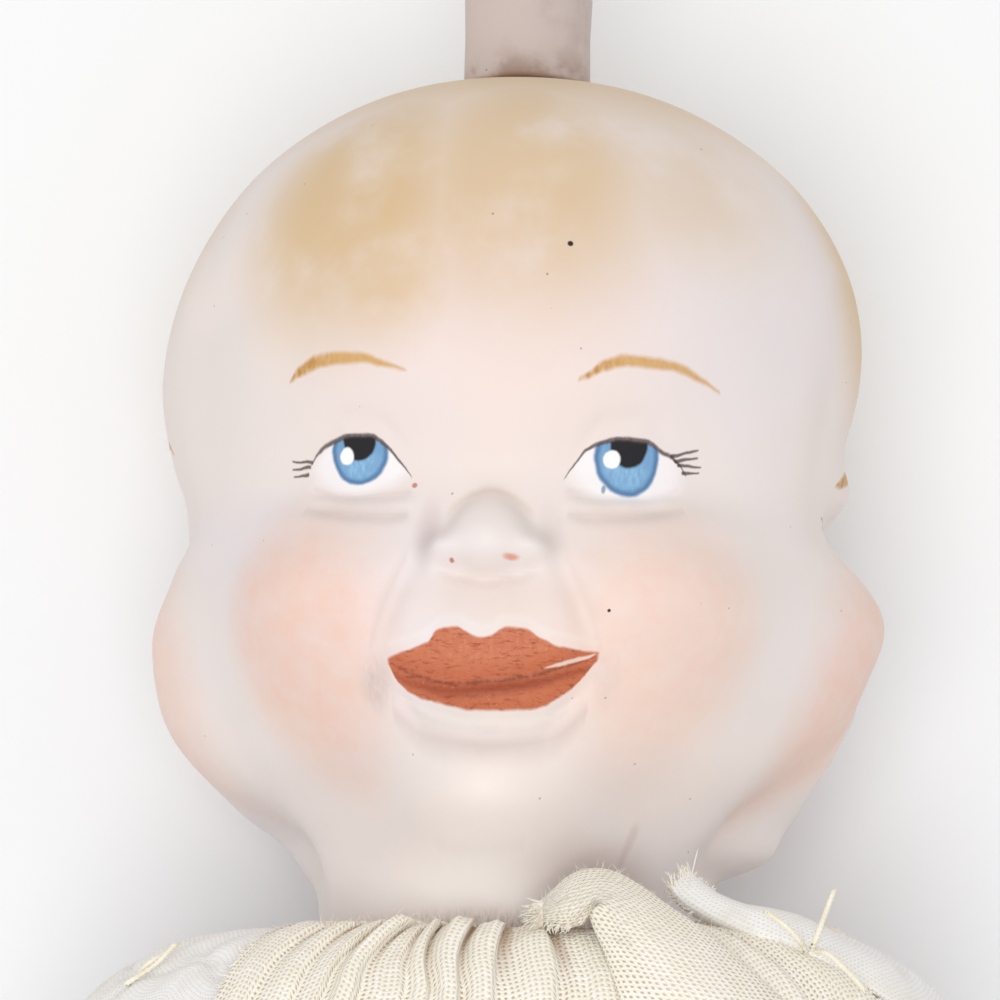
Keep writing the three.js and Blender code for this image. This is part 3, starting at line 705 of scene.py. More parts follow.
def paint_awake_face(brush):
    left_brow = [
        (-18.7, -1.9), (-16.9, -1.05), (-14.1, -0.55), (-11.0, -0.75), (-9.2, -1.25), (-6.9, -2.1),
    ]
    right_brow = [
        (7.2, -2.8), (8.4, -2.1), (9.5, -1.4), (12.0, -0.85), (14.5, -0.85), (18.3, -1.6), (20.7, -2.4),
    ]
    paint_brow(brush, left_brow, 1.05, (-12, -18))
    paint_brow(brush, right_brow, 0.95, (12, 8))
    left_lid = [
        (-18.0, -8.8), (-16.6, -7.7), (-14.9, -7.1), (-13.0, -6.85),
        (-11.1, -6.95), (-9.8, -7.6), (-8.8, -8.55), (-7.0, -10.7),
    ]
    right_lid = [
        (6.5, -10.8), (7.3, -9.7), (8.9, -8.0), (10.2, -7.4),
        (12.3, -7.1), (14.2, -7.15), (15.6, -7.7), (17.1, -8.2), (18.6, -9.4),
    ]
    left_lashes = [
        ((-17.8, -8.5), (-20.1, -8.2)), ((-18.1, -8.9), (-20.2, -8.85)), ((-18.4, -9.5), (-20.1, -9.5)),
    ]
    right_lashes = [
        ((16.8, -8.0), (19.4, -7.2)), ((17.3, -8.3), (19.5, -7.8)),
        ((17.6, -8.6), (20.0, -8.5)), ((18.2, -9.2), (19.9, -9.0)),
    ]
    paint_open_eye(brush, (-12.2, -8.25, 2.95, 2.65), left_lid, left_lashes)
    paint_open_eye(brush, (12.35, -8.6, 3.1, 3.2), right_lid, right_lashes)
    # A red dot in an inner corner and a blue drip under the other iris.
    brush.paint((186, 92, 66), brush.disc(-6.7, -11.4, 0.26, 0.2, soft=0.4) * 0.8)
    brush.paint((100, 140, 170), brush.disc(10.2, -11.4, 0.22, 0.35, soft=0.3) * 0.8)
    paint_awake_lips(brush)
    brush.paint(NOSTRIL, brush.disc(2.1, -18.2, 0.55, 0.22, soft=0.6) * 0.7)
    brush.paint((178, 82, 54), brush.disc(-2.6, -18.4, 0.18, 0.18, soft=0.5) * 0.8)


def paint_crying_face(brush):
    for side in (-1, 1):
        brow = mirror(side, [(6.4, -2.6), (9.0, -3.0), (14.0, -4.4), (19.0, -6.2)])
        paint_brow(brush, brow, 1.15, (side * 12, side * 18))
        paint_shut_lid(brush, side, [(5.5, -9.7), (10.0, -11.0), (14.0, -10.9), (19.0, -9.1)], 0.22)
        for reach, drop in ((2.2, 0.1), (2.0, -0.9), (1.6, -1.6)):
            lash = brush.stroke((side * 18.4, -9.4), (side * (18.4 + reach), -9.4 + drop), 0.24)
            brush.paint(LID_BROWN, lash * 0.8)
        brush.paint(NOSTRIL, brush.disc(side * 2.3, -18.3, 0.5, 0.22, soft=0.6) * 0.7)
    lips = brush.disc(0, -27.8, 7.4, 4.9, soft=0.06)
    brush.paint(LIP, lips * (0.85 + brush.streaks * 0.15))
    inside = brush.disc(0, -27.7, 5.4, 3.0, soft=0.08)
    brush.paint((112, 38, 28), inside)
    brush.paint((196, 112, 92), inside * brush.disc(0, -29.6, 3.6, 1.7, soft=0.25))
    where = brush.graph.vector(brush.x * 0.9, brush.z * 3.4, 7.0)
    hatching = brush.graph.noise(where, 1.0, detail=4, roughness=0.65)
    brush.paint(LIP_DARK, (lips - inside) * brush.graph.step(hatching, 0.5, 0.7) * 0.6)


def paint_sleeping_face(brush):
    for side in (-1, 1):
        brow = mirror(side, [(6.8, -3.2), (9.5, -2.2), (14.0, -2.1), (18.8, -3.6)])
        paint_brow(brush, brow, 1.0, (side * 12, side * 18))
        paint_shut_lid(brush, side, [(6.4, -10.7), (9.5, -12.3), (13.5, -12.7), (18.5, -10.9)], 0.2)
        for place, level in ((9.5, -12.4), (11.5, -12.8), (13.5, -12.8), (15.4, -12.2), (17.2, -11.6)):
            lash = brush.stroke((side * place, level), (side * (place + 0.9), level - 1.3), 0.22)
            brush.paint(LID_BROWN, lash * 0.75)
        brush.paint(NOSTRIL, brush.disc(side * 2.3, -18.3, 0.5, 0.22, soft=0.6) * 0.7)
    bow = [
        (-5.8, -28.0), (-3.0, -26.0), (-1.3, -25.3), (0, -25.9), (1.3, -25.3), (3.0, -26.0), (5.8, -28.0),
    ]
    lower = [(-5.8, -28.3), (-3.0, -30.2), (0, -30.9), (3.0, -30.2), (5.8, -28.3)]
    brush.paint(LIP, brush.between(bow, lower, soft=0.16) * (0.85 + brush.streaks * 0.15))
    parting = [(-5.7, -28.1), (0, -27.6), (5.7, -28.1)]
    thin = [(-5.7, 0.03), (0, 0.14), (5.7, 0.03)]
    brush.paint(LIP_PARTING, brush.band(parting, thin, soft=0.2) * 0.75)


def paint_eye_bag_shade(brush):
    """Painted shade in the creases under the eyes, each from its inner end to its outer one."""
    for side, inner, outer in ((-1, (6.9, -14.05), (17.7, -12.8)), (1, (6.7, -13.9), (17.8, -12.6))):
        bag = mirror(side, [inner, (12.0, -13.6), outer])
        soft = mirror(side, [(inner[0], 0.05), (9.0, 0.32), (outer[0], 0.05)])
        brush.paint((186, 168, 162), brush.band(bag, soft, soft=0.85) * 0.42)
        lid = mirror(side, [(inner[0], inner[1] + 2.2), (12.0, -11.9), (outer[0], -10.7)])
        thin = mirror(side, [(inner[0], 0.02), (9.0, 0.16), (outer[0], 0.02)])
        brush.paint((198, 180, 170), brush.band(lid, thin, soft=0.5) * 0.42)


def paint_shade_highlights_and_dirt(brush):
    """Painted shade in the hollows and creases of the awake face, painted highlights on its rims and neck,
    and a line of dirt.
    """
    step, streaks = brush.graph.step, brush.streaks
    paint_eye_bag_shade(brush)
    # The dome of the nose: a yellowish line of painted shade over its top, painted shade down its sides.
    around = brush.hypot((brush.x - 0.2) / 3.9, (brush.z + 15.7) / 3.55)
    rim = step(brush.graph.math("ABSOLUTE", around - 1.0), 0.16, 0.0)
    brush.paint((214, 196, 174), rim * step(brush.z, -14.8, -13.4) * 0.4)
    for middle, amount in ((-5.0, 0.5), (5.5, 0.25)):
        brush.paint((192, 176, 176), brush.disc(middle, -16.0, 0.9, 2.6, soft=0.8) * amount)
    # Round the mouth: painted shade at its corners, in the groove below and on the muzzle, painted
    # highlights on the rims.
    brush.paint((176, 160, 154), brush.disc(-9.6, -28.2, 1.3, 1.6, soft=0.8) * streaks * 0.8)
    brush.paint((196, 180, 174), brush.disc(10.4, -27.6, 1.2, 1.6, soft=0.8) * streaks * 0.5)
    groove = [(-8.5, -30.4), (-4.5, -32.7), (0, -33.3), (4.6, -32.9), (9.2, -30.2)]
    soft = [(-8.5, 0.3), (-3.0, 1.0), (4.0, 1.0), (9.2, 0.3)]
    brush.paint((190, 172, 168), brush.band(groove, soft, soft=1.5) * 0.55)
    brush.paint((224, 202, 190), brush.disc(0.2, -21.4, 5.2, 2.4, soft=0.7) * 0.5)
    lower_rim = [(-7.6, -29.3), (-3.4, -31.0), (-0.3, -31.5), (3.8, -31.3), (8.4, -29.2)]
    soft = [(-7.6, 0.05), (-2.0, 0.28), (4.0, 0.28), (8.4, 0.05)]
    brush.paint((248, 242, 238), brush.band(lower_rim, soft, soft=0.4) * 0.3)
    upper_rim = [
        (-8.0, -25.2), (-4.6, -24.3), (-2.6, -23.1), (0.0, -23.9), (2.1, -23.2), (4.8, -24.1), (9.6, -25.0),
    ]
    soft = [(-8.0, 0.02), (-2.6, 0.2), (2.1, 0.2), (9.6, 0.05)]
    brush.paint((246, 238, 232), brush.band(upper_rim, soft, soft=0.5) * 0.25)
    # Painted shade along the folds of baby fat from the nose to the mouth's corners, and under the chin.
    for side, amount in ((-1, 0.38), (1, 0.22)):
        fold = mirror(side, [(6.4, -17.5), (8.2, -21.5), (9.8, -25.6)])
        soft = mirror(side, [(6.4, 0.1), (8.2, 0.7), (9.8, 0.1)])
        brush.paint((200, 184, 180), brush.band(fold, soft, soft=1.2) * amount)
    chin = [(-6.4, -40.6), (-1.0, -41.2), (4.2, -40.7)]
    soft = [(-6.4, 0.1), (-1.0, 0.35), (4.2, 0.1)]
    brush.paint((188, 168, 160), brush.band(chin, soft, soft=1.0) * 0.22)
    # The neck: painted light in front, painted shade under the jaw and down the crease beside it, and dirt
    # along the gauze's edge.
    brush.paint((252, 246, 242), brush.disc(-2.0, -45.0, 17.0, 4.5, soft=0.6) * 0.7)
    brush.paint((186, 160, 148), brush.disc(15.5, -42.4, 9.0, 2.2, soft=0.9) * 0.35)
    brush.paint((168, 128, 100), step(brush.z, -45.0, -47.0) * step(streaks, 0.3, 0.7) * 0.55)
    brush.paint((180, 152, 140), brush.stroke((20.5, -38.6), (19.4, -42.0), 1.2, soft=0.7) * 0.26)


def paint_skin(brush, where):
    """Blush on the cheeks. The mask it returns is the faded hair tint's."""
    noise = brush.graph.noise
    mottle = noise(where, 2.2, detail=4, roughness=0.6)
    for *cheek, strength in ((-17.0, -24.4, 9.2, 10.2, 0.92), (15.6, -24.0, 9.4, 9.6, 0.72)):
        brush.paint(BLUSH, brush.disc(*cheek, soft=0.48) * (0.18 + mottle * 0.55) * strength)
    brush.paint((236, 206, 194), brush.disc(0, 1.5, 15, 11, soft=0.7) * 0.34)
    drift = noise(where, 9.0, detail=4, roughness=0.55)
    patches = (
        (-13.5, 14.0, 10.5, 11.5, 0.95), (-9.0, 7.5, 6.0, 6.5, 0.8),
        (2.5, 16.5, 11.0, 13.0, 0.8), (15.5, 17.5, 12.0, 8.5, 0.45),
    )
    tint = highest(brush.disc(*patch, soft=0.6) * strength for *patch, strength in patches)
    return tint * brush.graph.step(drift, 0.08, 0.58)


def bisque_material():
    g = Graph("painted_bisque", (230, 220, 216), 0.55)
    where = g.place()
    paint_x, paint_z = g.uv("paint")
    wobble = g.noise(where, 1.3, detail=3) - 0.5
    wobble_too = g.noise(g.vector(paint_z, paint_x, 3.0), 1.1, detail=3) - 0.5
    x = paint_x + wobble * 0.3
    z = paint_z + wobble_too * 0.3
    streaks = g.noise(g.vector(paint_x * 2.2, paint_z * 0.9), 0.9, detail=4, roughness=0.6)

    # Uneven bisque: faint warm and cool clouds.
    clouds = g.noise(where, 22, detail=2)
    g.paint((229, 222, 226), g.step(clouds, 0.48, 0.7) * 0.6)
    g.paint((239, 226, 219), g.step(clouds, 0.5, 0.3) * 0.55)

    # The three hair tints meet on the crown, where the colour has worn to an even beige.
    strips = [Brush(g, paint_x - PAINT_STRIP * face, paint_z, streaks) for face in FACES]
    crown = g.step(paint_z, 17, 29) * 0.8
    tints = [paint_skin(strip, where) for strip in strips]
    g.paint((211, 178, 126), highest([*tints, crown]) * 0.85)

    # The brush wanders a little where it draws the features.
    awake, crying, sleeping = [Brush(g, x - PAINT_STRIP * face, z, streaks) for face in FACES]
    paint_shade_highlights_and_dirt(awake)
    paint_awake_face(awake)
    paint_crying_face(crying)
    paint_sleeping_face(sleeping)
    # Brown dirt from the gauze mixed with painted shade, where the neck goes into it.
    stain = g.noise(where, 4.0, detail=4)
    g.paint((156, 118, 96), g.step(paint_z, -46.6, -49.4) * g.step(stain, 0.2, 0.65) * 0.8)
    specks, chance = g.cells(where, 2.6)
    fleck = g.step(specks, 0.05, 0.03) * g.step(chance, 0.72, 0.74)
    g.paint((120, 92, 78), fleck * 0.6)
    # Two black specks on the awake face, on the forehead and beside the mouth.
    g.paint((40, 28, 24), strips[AWAKE].disc(6.4, 8.9, 0.24, 0.24, soft=0.3))
    g.paint((50, 38, 34), strips[AWAKE].disc(9.95, -22.3, 0.13, 0.14, soft=0.3))

    pores = g.noise(where, 0.28, detail=3)
    g.emboss(pores, 0.01)
    g.emboss(g.noise(where, 3.0, detail=2), 0.02)
    g.shader.inputs["Specular IOR Level"].default_value = 0.35
    return g.finish()


# ---------------------------------------------------------------- the stuffed body

# Down the cover from its neck edge: y, half width, half depth, how far the front drops and
# how far the shoulder at +X is hitched up.
BODY_PROFILE = [
    (37.0, 18.3, 18.3, 0, 0),
    (43.0, 18.4, 18.4, 0.8, 0.4),
    (45.4, 20.6, 20.0, 1.2, 1.4),
    (45.8, 25.0, 22.2, 1.5, 1.8),
    (44.2, 31.0, 24.8, 1.8, 1.5),
    (40.0, 37.0, 27.8, 1.8, 0.9),
    (31.0, 42.0, 30.8, 1.0, 0.3),
    (16.0, 45.4, 31.8, 0.2, 0),
    (0.0, 46.0, 31.8, 0, 0),
    (-16.0, 44.0, 31.6, 0, 0),
    (-30.0, 38.0, 31.0, 0, 0),
    (-40.0, 27.0, 25.0, 0, 0),
    (-45.6, 14.0, 13.6, 0, 0),
    (-47.4, 8.9, 8.9, 0, 0),
    (-52.6, 8.7, 8.7, 0, 0),
]
BODY_SQUARENESS = 0.86           # below 1 the cross-section is fuller than an ellipse
CLOTH = 1.4
LAST_BODY_ROW = len(BODY_PROFILE) - 1


def smooth(value, low, high):
    """0 below low, 1 above high, and smooth in between. low may be the higher."""
    part = np.clip((value - low) / (high - low), 0, 1)
    return part * part * (3 - 2 * part)


def waves(points, size, seed, count=8):
    """Smooth random hills about size millimetres across, mostly between -1 and 1."""
    rng = np.random.default_rng(seed)
    directions = rng.normal(size=(count, 3))
    directions /= np.linalg.norm(directions, axis=1)[:, None]
    lengths = 2 * size * rng.uniform(0.7, 1.4, count)
    phases = rng.uniform(0, TAU, count)
    total = np.sin(points @ (directions * TAU / lengths[:, None]).T + phases).sum(axis=-1)
    return total / math.sqrt(count)


def unit(vectors):
    return vectors / np.maximum(np.linalg.norm(vectors, axis=-1, keepdims=True), 1e-9)


def body_point(t, angle):
    y, half_width, half_depth, drop, hitch = np.moveaxis(sample_rows(BODY_PROFILE, t), -1, 0)
    power = 1 - (1 - BODY_SQUARENESS) * smooth(half_width, 20, 34)
    across = np.sign(np.sin(angle)) * np.abs(np.sin(angle)) ** power
    up = np.sign(np.cos(angle)) * np.abs(np.cos(angle)) ** power
    return np.stack(
        [
            half_width * across,
            y - drop * np.maximum(np.cos(angle), 0) ** 2 + hitch * np.maximum(np.sin(angle), 0) ** 2,
            AXIS_HEIGHT + half_depth * up,
        ],
        axis=-1,
    )


def body_frame(t, angle):
    """A point on the cover, its outward normal and the way round the body."""
    step = 0.01
    low_t = np.clip(t - step, 0, LAST_BODY_ROW)
    high_t = np.clip(t + step, 0, LAST_BODY_ROW)
    down = body_point(high_t, angle) - body_point(low_t, angle)
    across = unit(body_point(t, angle + step) - body_point(t, angle - step))
    return body_point(t, angle), unit(np.cross(down, across)), across


def pleat(phase, height, spread, lean):
    """One wave of gathered cloth per turn of phase: how far it stands out and moves over."""
    rise = (1 - np.cos(phase)) / 2
    return height * rise, lean * rise - spread * np.sin(phase)


def grid_lengths(points, axis):
    """How far along the cloth each point of a grid is, in the direction of an axis."""
    steps = np.linalg.norm(np.diff(points, axis=axis), axis=-1)
    start = np.zeros_like(np.take(steps, [0], axis=axis))
    return np.concatenate([start, np.cumsum(steps, axis=axis)], axis=axis)


def weave_uv(faces, along, across):
    corners = np.asarray(faces).ravel()
    return np.stack([np.ravel(along)[corners], np.ravel(across)[corners]], axis=-1)


def add_attribute(mesh, name, values):
    mesh.attributes.new(name, "FLOAT", "POINT").data.foreach_set("value", np.ravel(values))


def cotton_relief(t, angle, points):
    """Seams, gathers at the neck and hem, stuffing lumps and creases of the cover."""
    # The lumps are kept low, so that none comes up through the gauze.
    tallest = 0.4
    lumps = tallest * np.tanh((0.75 * waves(points, 11, seed=3) - 0.2) / tallest)
    relief = lumps * smooth(t, 3, 6) * smooth(t, 13, 10)
    for line_seed, place_seed, depth in ((8, 5, 0.55), (23, 14, 0.4)):
        line = waves(points, 10, seed=line_seed)
        crease_depth = depth * smooth(waves(points, 16, seed=place_seed), -0.2, 0.6)
        relief -= crease_depth * np.exp(-((line / 0.14) ** 2)) * smooth(t, 3.2, 4.5)
    for side in (-1, 1):
        away = (angle - side * math.pi / 2) * 30
        seam = -0.7 * np.exp(-((away / 0.55) ** 2)) + 0.25 * np.exp(-((away / 2.2) ** 2))
        pucker = 0.22 * np.sin(points[..., 1] * 1.9) * np.exp(-((away / 2.6) ** 2))
        relief += (seam + pucker) * smooth(t, 2.6, 3.6) * smooth(t, 13, 12)
    return np.maximum(relief, -0.9 * CLOTH)


def build_cotton_body(material):
    columns = 300
    outer_rows = 190
    inner_rows = 8
    # Rows crowd towards the gathers at both ends.
    part = np.linspace(-1, 1, outer_rows)
    t = LAST_BODY_ROW * (0.5 + 0.5 * np.sign(part) * np.abs(part) ** 0.9)
    angle = np.linspace(-math.pi, math.pi, columns, endpoint=False)
    tt, aa = np.meshgrid(t, angle, indexing="ij")
    points, normal, across = body_frame(tt, aa)
    neck_phase = 34 * aa + 1.1 * np.sin(5 * aa + 0.7) + 0.8 * np.sin(3 * aa)
    neck_height = 0.75 * smooth(tt, 1.2, 2.4) * smooth(tt, 6.0, 2.8)
    hem_phase = 24 * aa + 1.2 * np.sin(4 * aa) + 0.9 * np.sin(7 * aa + 2)
    hem_height = 1.5 * smooth(tt, 9.6, 12.2) * (1 - 0.55 * smooth(tt, 12.4, 13.0))
    neck_out, neck_over = pleat(neck_phase, neck_height, neck_height * 0.25, 0)
    hem_out, hem_over = pleat(hem_phase, hem_height, hem_height * 0.22, hem_height * 0.2)
    # The thread pulls the hem tight, and the raw edge below it spreads out again.
    tie = np.exp(-(((points[..., 1] - HEM_THREAD_Y) / 0.8) ** 2))
    out = neck_out + hem_out * (1 - 0.75 * tie) - 0.25 * tie * smooth(tt, 12.8, 13.2)
    out = out + cotton_relief(tt, aa, points)
    points = points + normal * out[..., None] + across * (neck_over + hem_over)[..., None]
    points[..., 2] = np.maximum(points[..., 2], 0)
    inner = []
    for row in np.linspace(LAST_BODY_ROW, 0, inner_rows):
        place, normal, _ = body_frame(np.full(columns, row), angle)
        place = place - normal * CLOTH
        place[:, 2] = np.maximum(place[:, 2], CLOTH)
        inner.append(place)
    cloth = np.concatenate([points, np.array(inner)], axis=0)
    rows = cloth.shape[0]
    faces = grid_faces(rows, columns, wrap_rows=True, wrap_columns=True)
    body = add_mesh("cotton_body", cloth.reshape(-1, 3), faces, material, "handle")
    around = np.broadcast_to(aa[0] * 40, (rows, columns)).copy()
    down = grid_lengths(cloth, 0)
    uv = weave_uv(faces, around, down).reshape(-1, 4, 2)
    # The last column closes on the first, a whole turn on.
    closing = np.arange(len(faces)) % columns == columns - 1
    uv[closing, 2:, 0] += TAU * 40
    set_uv(body.data, "weave", uv.reshape(-1, 2))
    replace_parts(body, "body_cover")
    return body


# ---------------------------------------------------------------- threads

def tubes(paths, radius, sides=5):
    """Vertices and faces of thin tubes that taper a little towards their ends."""
    points, faces = [], []
    turn = np.arange(sides) * TAU / sides
    for path in paths:
        path = np.asarray(path, dtype=float)
        along = unit(np.gradient(path, axis=0))
        helper = np.where(np.abs(along[:, 2:]) < 0.9, [[0, 0, 1.0]], [[1.0, 0, 0]])
        first = unit(np.cross(along, helper))
        second = np.cross(along, first)
        taper = radius * np.interp(np.linspace(0, 1, len(path)), [0, 0.8, 1], [1, 1, 0.5])
        ring = first[:, None] * np.cos(turn)[:, None] + second[:, None] * np.sin(turn)[:, None]
        start = len(points)
        points.extend((path[:, None] + ring * taper[:, None, None]).reshape(-1, 3))
        body = np.asarray(grid_faces(len(path), sides, wrap_columns=True)) + start
        faces.extend(body.tolist())
        faces.append(list(range(start + sides - 1, start - 1, -1)))
        faces.append(list(range(len(points) - sides, len(points))))
    return points, faces


def add_tubes(name, paths, radius, material, sides=5):
    points, faces = tubes(paths, radius, sides)
    piece = add_mesh(name, points, faces, material, "handle")
    return piece


def twisted_thread(path, radius, strands=3, pitch=1.1):
    """The paths of the strands that make up one twisted thread."""
    path = np.asarray(path, dtype=float)
    along = unit(np.gradient(path, axis=0))
    first = unit(np.cross(along, [0.31, 0.17, 0.93]))
    second = np.cross(along, first)
    turn = grid_lengths(path, 0) * TAU / pitch
    strand_paths = []
    for strand in range(strands):
        angle = turn + strand * TAU / strands
        offset = first * np.cos(angle)[:, None] + second * np.sin(angle)[:, None]
        strand_paths.append(path + offset * radius * 0.5)
    return strand_paths


def curve_through(points, count):
    """A smooth path of count points through the given ones."""
    return sample_rows(points, np.linspace(0, len(points) - 1, count))


# ---------------------------------------------------------------- the gauze bib

# The gathers from the bib's left edge to its right: each valley's angle round the body, at
# the tied edge and on the shoulders, and how high and how far over the crest after it stands.
BIB_GATHERS = [
    (-47, -37, 0.5, 0.0), (-34, -30, 0.7, 0.1), (-29, -23.5, 0.6, 0.1), (-22.5, -19.5, 1.6, 1.1),
    (-18, -15, 0.3, 0.0), (-15.5, -9.8, 0.9, 0.1), (-13, -7.4, 1.5, 1.0), (-6.5, -4.6, 1.2, 0.8),
    (-0.5, -1.5, 0.8, 0.2), (7, 4, 0.3, 0.0), (16, 13, 0.5, 0.1), (26, 26, 0.6, 0.2), (36, 40, 0.4, 0.0),
    (46, 54, 0.0, 0.0),
]
BIB_TOP, BIB_SHOULDER, BIB_BOTTOM = 1.2, 4.9, 7.6      # rows of the body's profile
GAUZE_LIFT = 0.6


def bib_surface(rows, columns_in_each):
    """The gathered sheet, and how high each point stands in its pleat, from 0 to 1."""
    tops, shoulders, heights, leans = np.array(BIB_GATHERS).T
    count = len(tops) - 1
    down, turns = np.meshgrid(
        np.linspace(0, 1, rows), np.linspace(0, count, count * columns_in_each + 1), indexing="ij"
    )
    t = BIB_TOP + (BIB_BOTTOM - BIB_TOP) * down**0.9
    spreading = np.clip((t - 2.8) / (BIB_SHOULDER - 2.8), 0, 1)
    index = np.arange(count + 1)
    wander = 0.8 * np.sin(5 * down + 0.6 * turns) * smooth(t, 3, 5)
    degrees = np.interp(turns, index, tops) * (1 - spreading)
    degrees = degrees + np.interp(turns, index, shoulders) * spreading + wander
    points, normal, sideways = body_frame(t, np.radians(degrees))
    middle = turns - 0.5
    tied = 0.4 + 0.6 * smooth(t, 2.8, 3.3)
    height = np.interp(middle, index, heights) * tied * (1 - 0.62 * smooth(t, 3.7, 6.0))
    lean = np.interp(middle, index, leans) * smooth(t, 2.6, 3.1) * smooth(t, 5.0, 3.4)
    # Each pleat rises gently from its left valley and drops sharply at its right one.
    part = turns % 1
    rise = smooth(part, 0, 0.5) * (0.75 + 0.25 * part) * smooth(part, 1, 0.82)
    out, over = height * rise, lean * rise * part
    # Small gathers between the large ones, only close to the tied edge.
    small = 0.12 * smooth(t, 4.4, 3.0) * (0.5 + 0.5 * waves(points, 5, seed=19))
    out = out + small * np.sin(turns * TAU * 2 + 1.5 * np.sin(turns * 4.1))
    flutter = 0.3 * waves(points, 8, seed=21) * smooth(t, 3.5, 5.5)
    edge = smooth(down, 0.9, 1.0) * (0.25 + 0.6 * waves(points, 6, seed=31))
    lift = GAUZE_LIFT + 0.3 * smooth(t, 4.5, 2.4) + np.maximum(out, 0)
    lift = lift + np.maximum(flutter, -0.3) + np.maximum(edge, 0)
    points = points + normal * lift[..., None] + sideways * over[..., None]
    return points, np.clip(0.35 + rise * 0.8, 0, 1)


# Rows across a roll of cloth: its lower edge (x, y, z), its upper edge, and how far it bulges
# between them. This one is the big loose fold right of the middle, with its top rolled over.
FOLD_ROWS = [
    (17.0, 12.0, 60.0, 32.0, 12.0, 54.0, 0.2),
    (14.0, 22.0, 60.2, 31.0, 23.0, 54.0, 1.4),
    (11.0, 32.0, 60.0, 28.4, 33.0, 54.4, 2.4),
    (9.3, 38.2, 58.6, 22.9, 39.3, 54.6, 3.0),
    (7.9, 42.6, 56.6, 18.4, 43.4, 54.2, 3.2),
    (6.9, 45.0, 55.4, 15.3, 45.9, 53.8, 2.9),
    (6.5, 46.5, 55.0, 13.2, 47.3, 53.4, 2.4),
    (6.5, 46.8, 54.8, 11.0, 48.9, 53.0, 2.2),
    (6.5, 46.2, 54.6, 8.7, 50.1, 53.0, 2.3),
    (6.1, 45.4, 54.4, 6.5, 50.3, 53.0, 2.3),
    (5.0, 45.2, 54.2, 4.9, 49.7, 53.0, 2.0),
    (3.8, 45.4, 54.0, 3.7, 48.6, 53.2, 1.5),
    (2.7, 45.7, 53.8, 2.6, 47.4, 53.4, 0.8),
]
FOLD_BULGE_WAY = np.array([0, -0.2, 0.98])
# The cover's own neck edge, rolled up beside the gauze on its way over the shoulder at +X.
COTTON_ROLL_ROWS = [
    (35.0, 34.6, 43.0, 37.4, 36.8, 36.0, 0.0),
    (36.0, 37.0, 46.0, 39.4, 39.6, 38.0, 0.4),
    (33.0, 39.6, 47.4, 36.6, 42.4, 38.6, 0.8),
    (30.2, 41.4, 48.0, 33.8, 44.4, 39.4, 1.1),
    (27.6, 42.9, 48.4, 30.3, 46.1, 40.2, 1.4),
    (24.2, 44.4, 48.8, 27.0, 47.2, 41.0, 1.6),
    (20.2, 45.7, 48.8, 23.5, 48.3, 42.0, 1.8),
    (18.0, 46.5, 48.6, 20.2, 48.5, 43.2, 1.8),
    (16.0, 47.4, 48.6, 17.9, 49.2, 44.6, 1.5),
    (14.4, 48.4, 48.6, 16.4, 50.2, 45.8, 0.9),
    (13.5, 49.4, 48.4, 15.2, 51.2, 46.4, 0.3),
]
COTTON_BULGE_WAY = unit(np.array([0.25, 0.45, 0.86]))


def rolled_cloth(row_table, bulge_way, rows, columns, seed, tuck=2.2):
    """A loose roll of cloth. Past both its edges the cloth turns back under it."""
    t = np.linspace(0, len(row_table) - 1, rows)
    row = sample_rows(row_table, t)
    lower, upper, bulge = row[:, None, 0:3], row[:, None, 3:6], row[:, None, 6:7]
    part = np.linspace(-0.12, 1.2, columns)[None, :, None]
    inside = np.clip(part, 0, 1)
    points = lower + (upper - lower) * inside
    points = points + bulge_way * bulge * np.sin(math.pi * inside) ** 0.7
    past_upper = np.clip(part - 1, 0, 1) / 0.2
    past_lower = np.clip(-part, 0, 1) / 0.12
    points = points + (lower - upper) * 0.16 * past_upper**2 - bulge_way * tuck * past_upper
    points = points + (upper - lower) * 0.12 * past_lower**2 - bulge_way * 0.5 * tuck * past_lower
    dents = waves(points, 3.6, seed=seed) * 0.2 * np.sin(math.pi * inside[..., 0])
    return points + bulge_way * dents[..., None], inside[..., 0] * np.ones((rows, 1)), t


def fold_surface(rows, columns):
    points, inside, t = rolled_cloth(FOLD_ROWS, FOLD_BULGE_WAY, rows, columns, seed=44)
    # A furrow where the roll at the top turns over, and a softer one down the fold.
    furrow = np.interp(t, [6.4, 7.4, 8.4, 9.6], [0.02, 0.16, 0.34, 0.10])[:, None]
    turning = smooth(t, 6.2, 6.8) * smooth(t, 10.0, 9.2)
    depth = 0.7 * turning[:, None] * np.exp(-(((inside - furrow) / 0.09) ** 2))
    depth = depth + 0.4 * smooth(t, 7, 5.4)[:, None] * np.exp(-(((inside - 0.2) / 0.09) ** 2))
    points = points - FOLD_BULGE_WAY * depth[..., None]
    return points, 0.35 + 0.65 * np.sin(math.pi * inside) - depth * 0.5


def frayed_edge(edge, outward, count, length, seed, spread=0.35):
    """Loose thread ends that stick out of a raw edge, given as a row of points."""
    rng = np.random.default_rng(seed)
    paths = []
    for place in np.sort(rng.uniform(0, len(edge) - 1, count)):
        i = int(place)
        start = edge[i] + (edge[min(i + 1, len(edge) - 1)] - edge[i]) * (place - i)
        aim = unit(outward + rng.normal(0, spread, 3))
        bend = rng.normal(0, spread, 3)
        reach = length * rng.uniform(0.4, 1.2)
        steps = np.linspace(-0.15, 1, 6)[:, None]
        paths.append(start + reach * (aim * steps + bend * steps**2 * 0.6))
    return paths


def scattered_hairs(surface, count, seed, length=0.8):
    """Fine fuzz that stands up from places all over a surface."""
    rng = np.random.default_rng(seed)
    places = surface.reshape(-1, 3)[rng.integers(surface.shape[0] * surface.shape[1], size=count)]
    hairs = []
    for i, place in enumerate(places):
        away = np.array([0.1, 0.5, 1.0])
        hairs += frayed_edge(np.array([place, place]), away, 1, length, seed + i, spread=0.6)
    return hairs


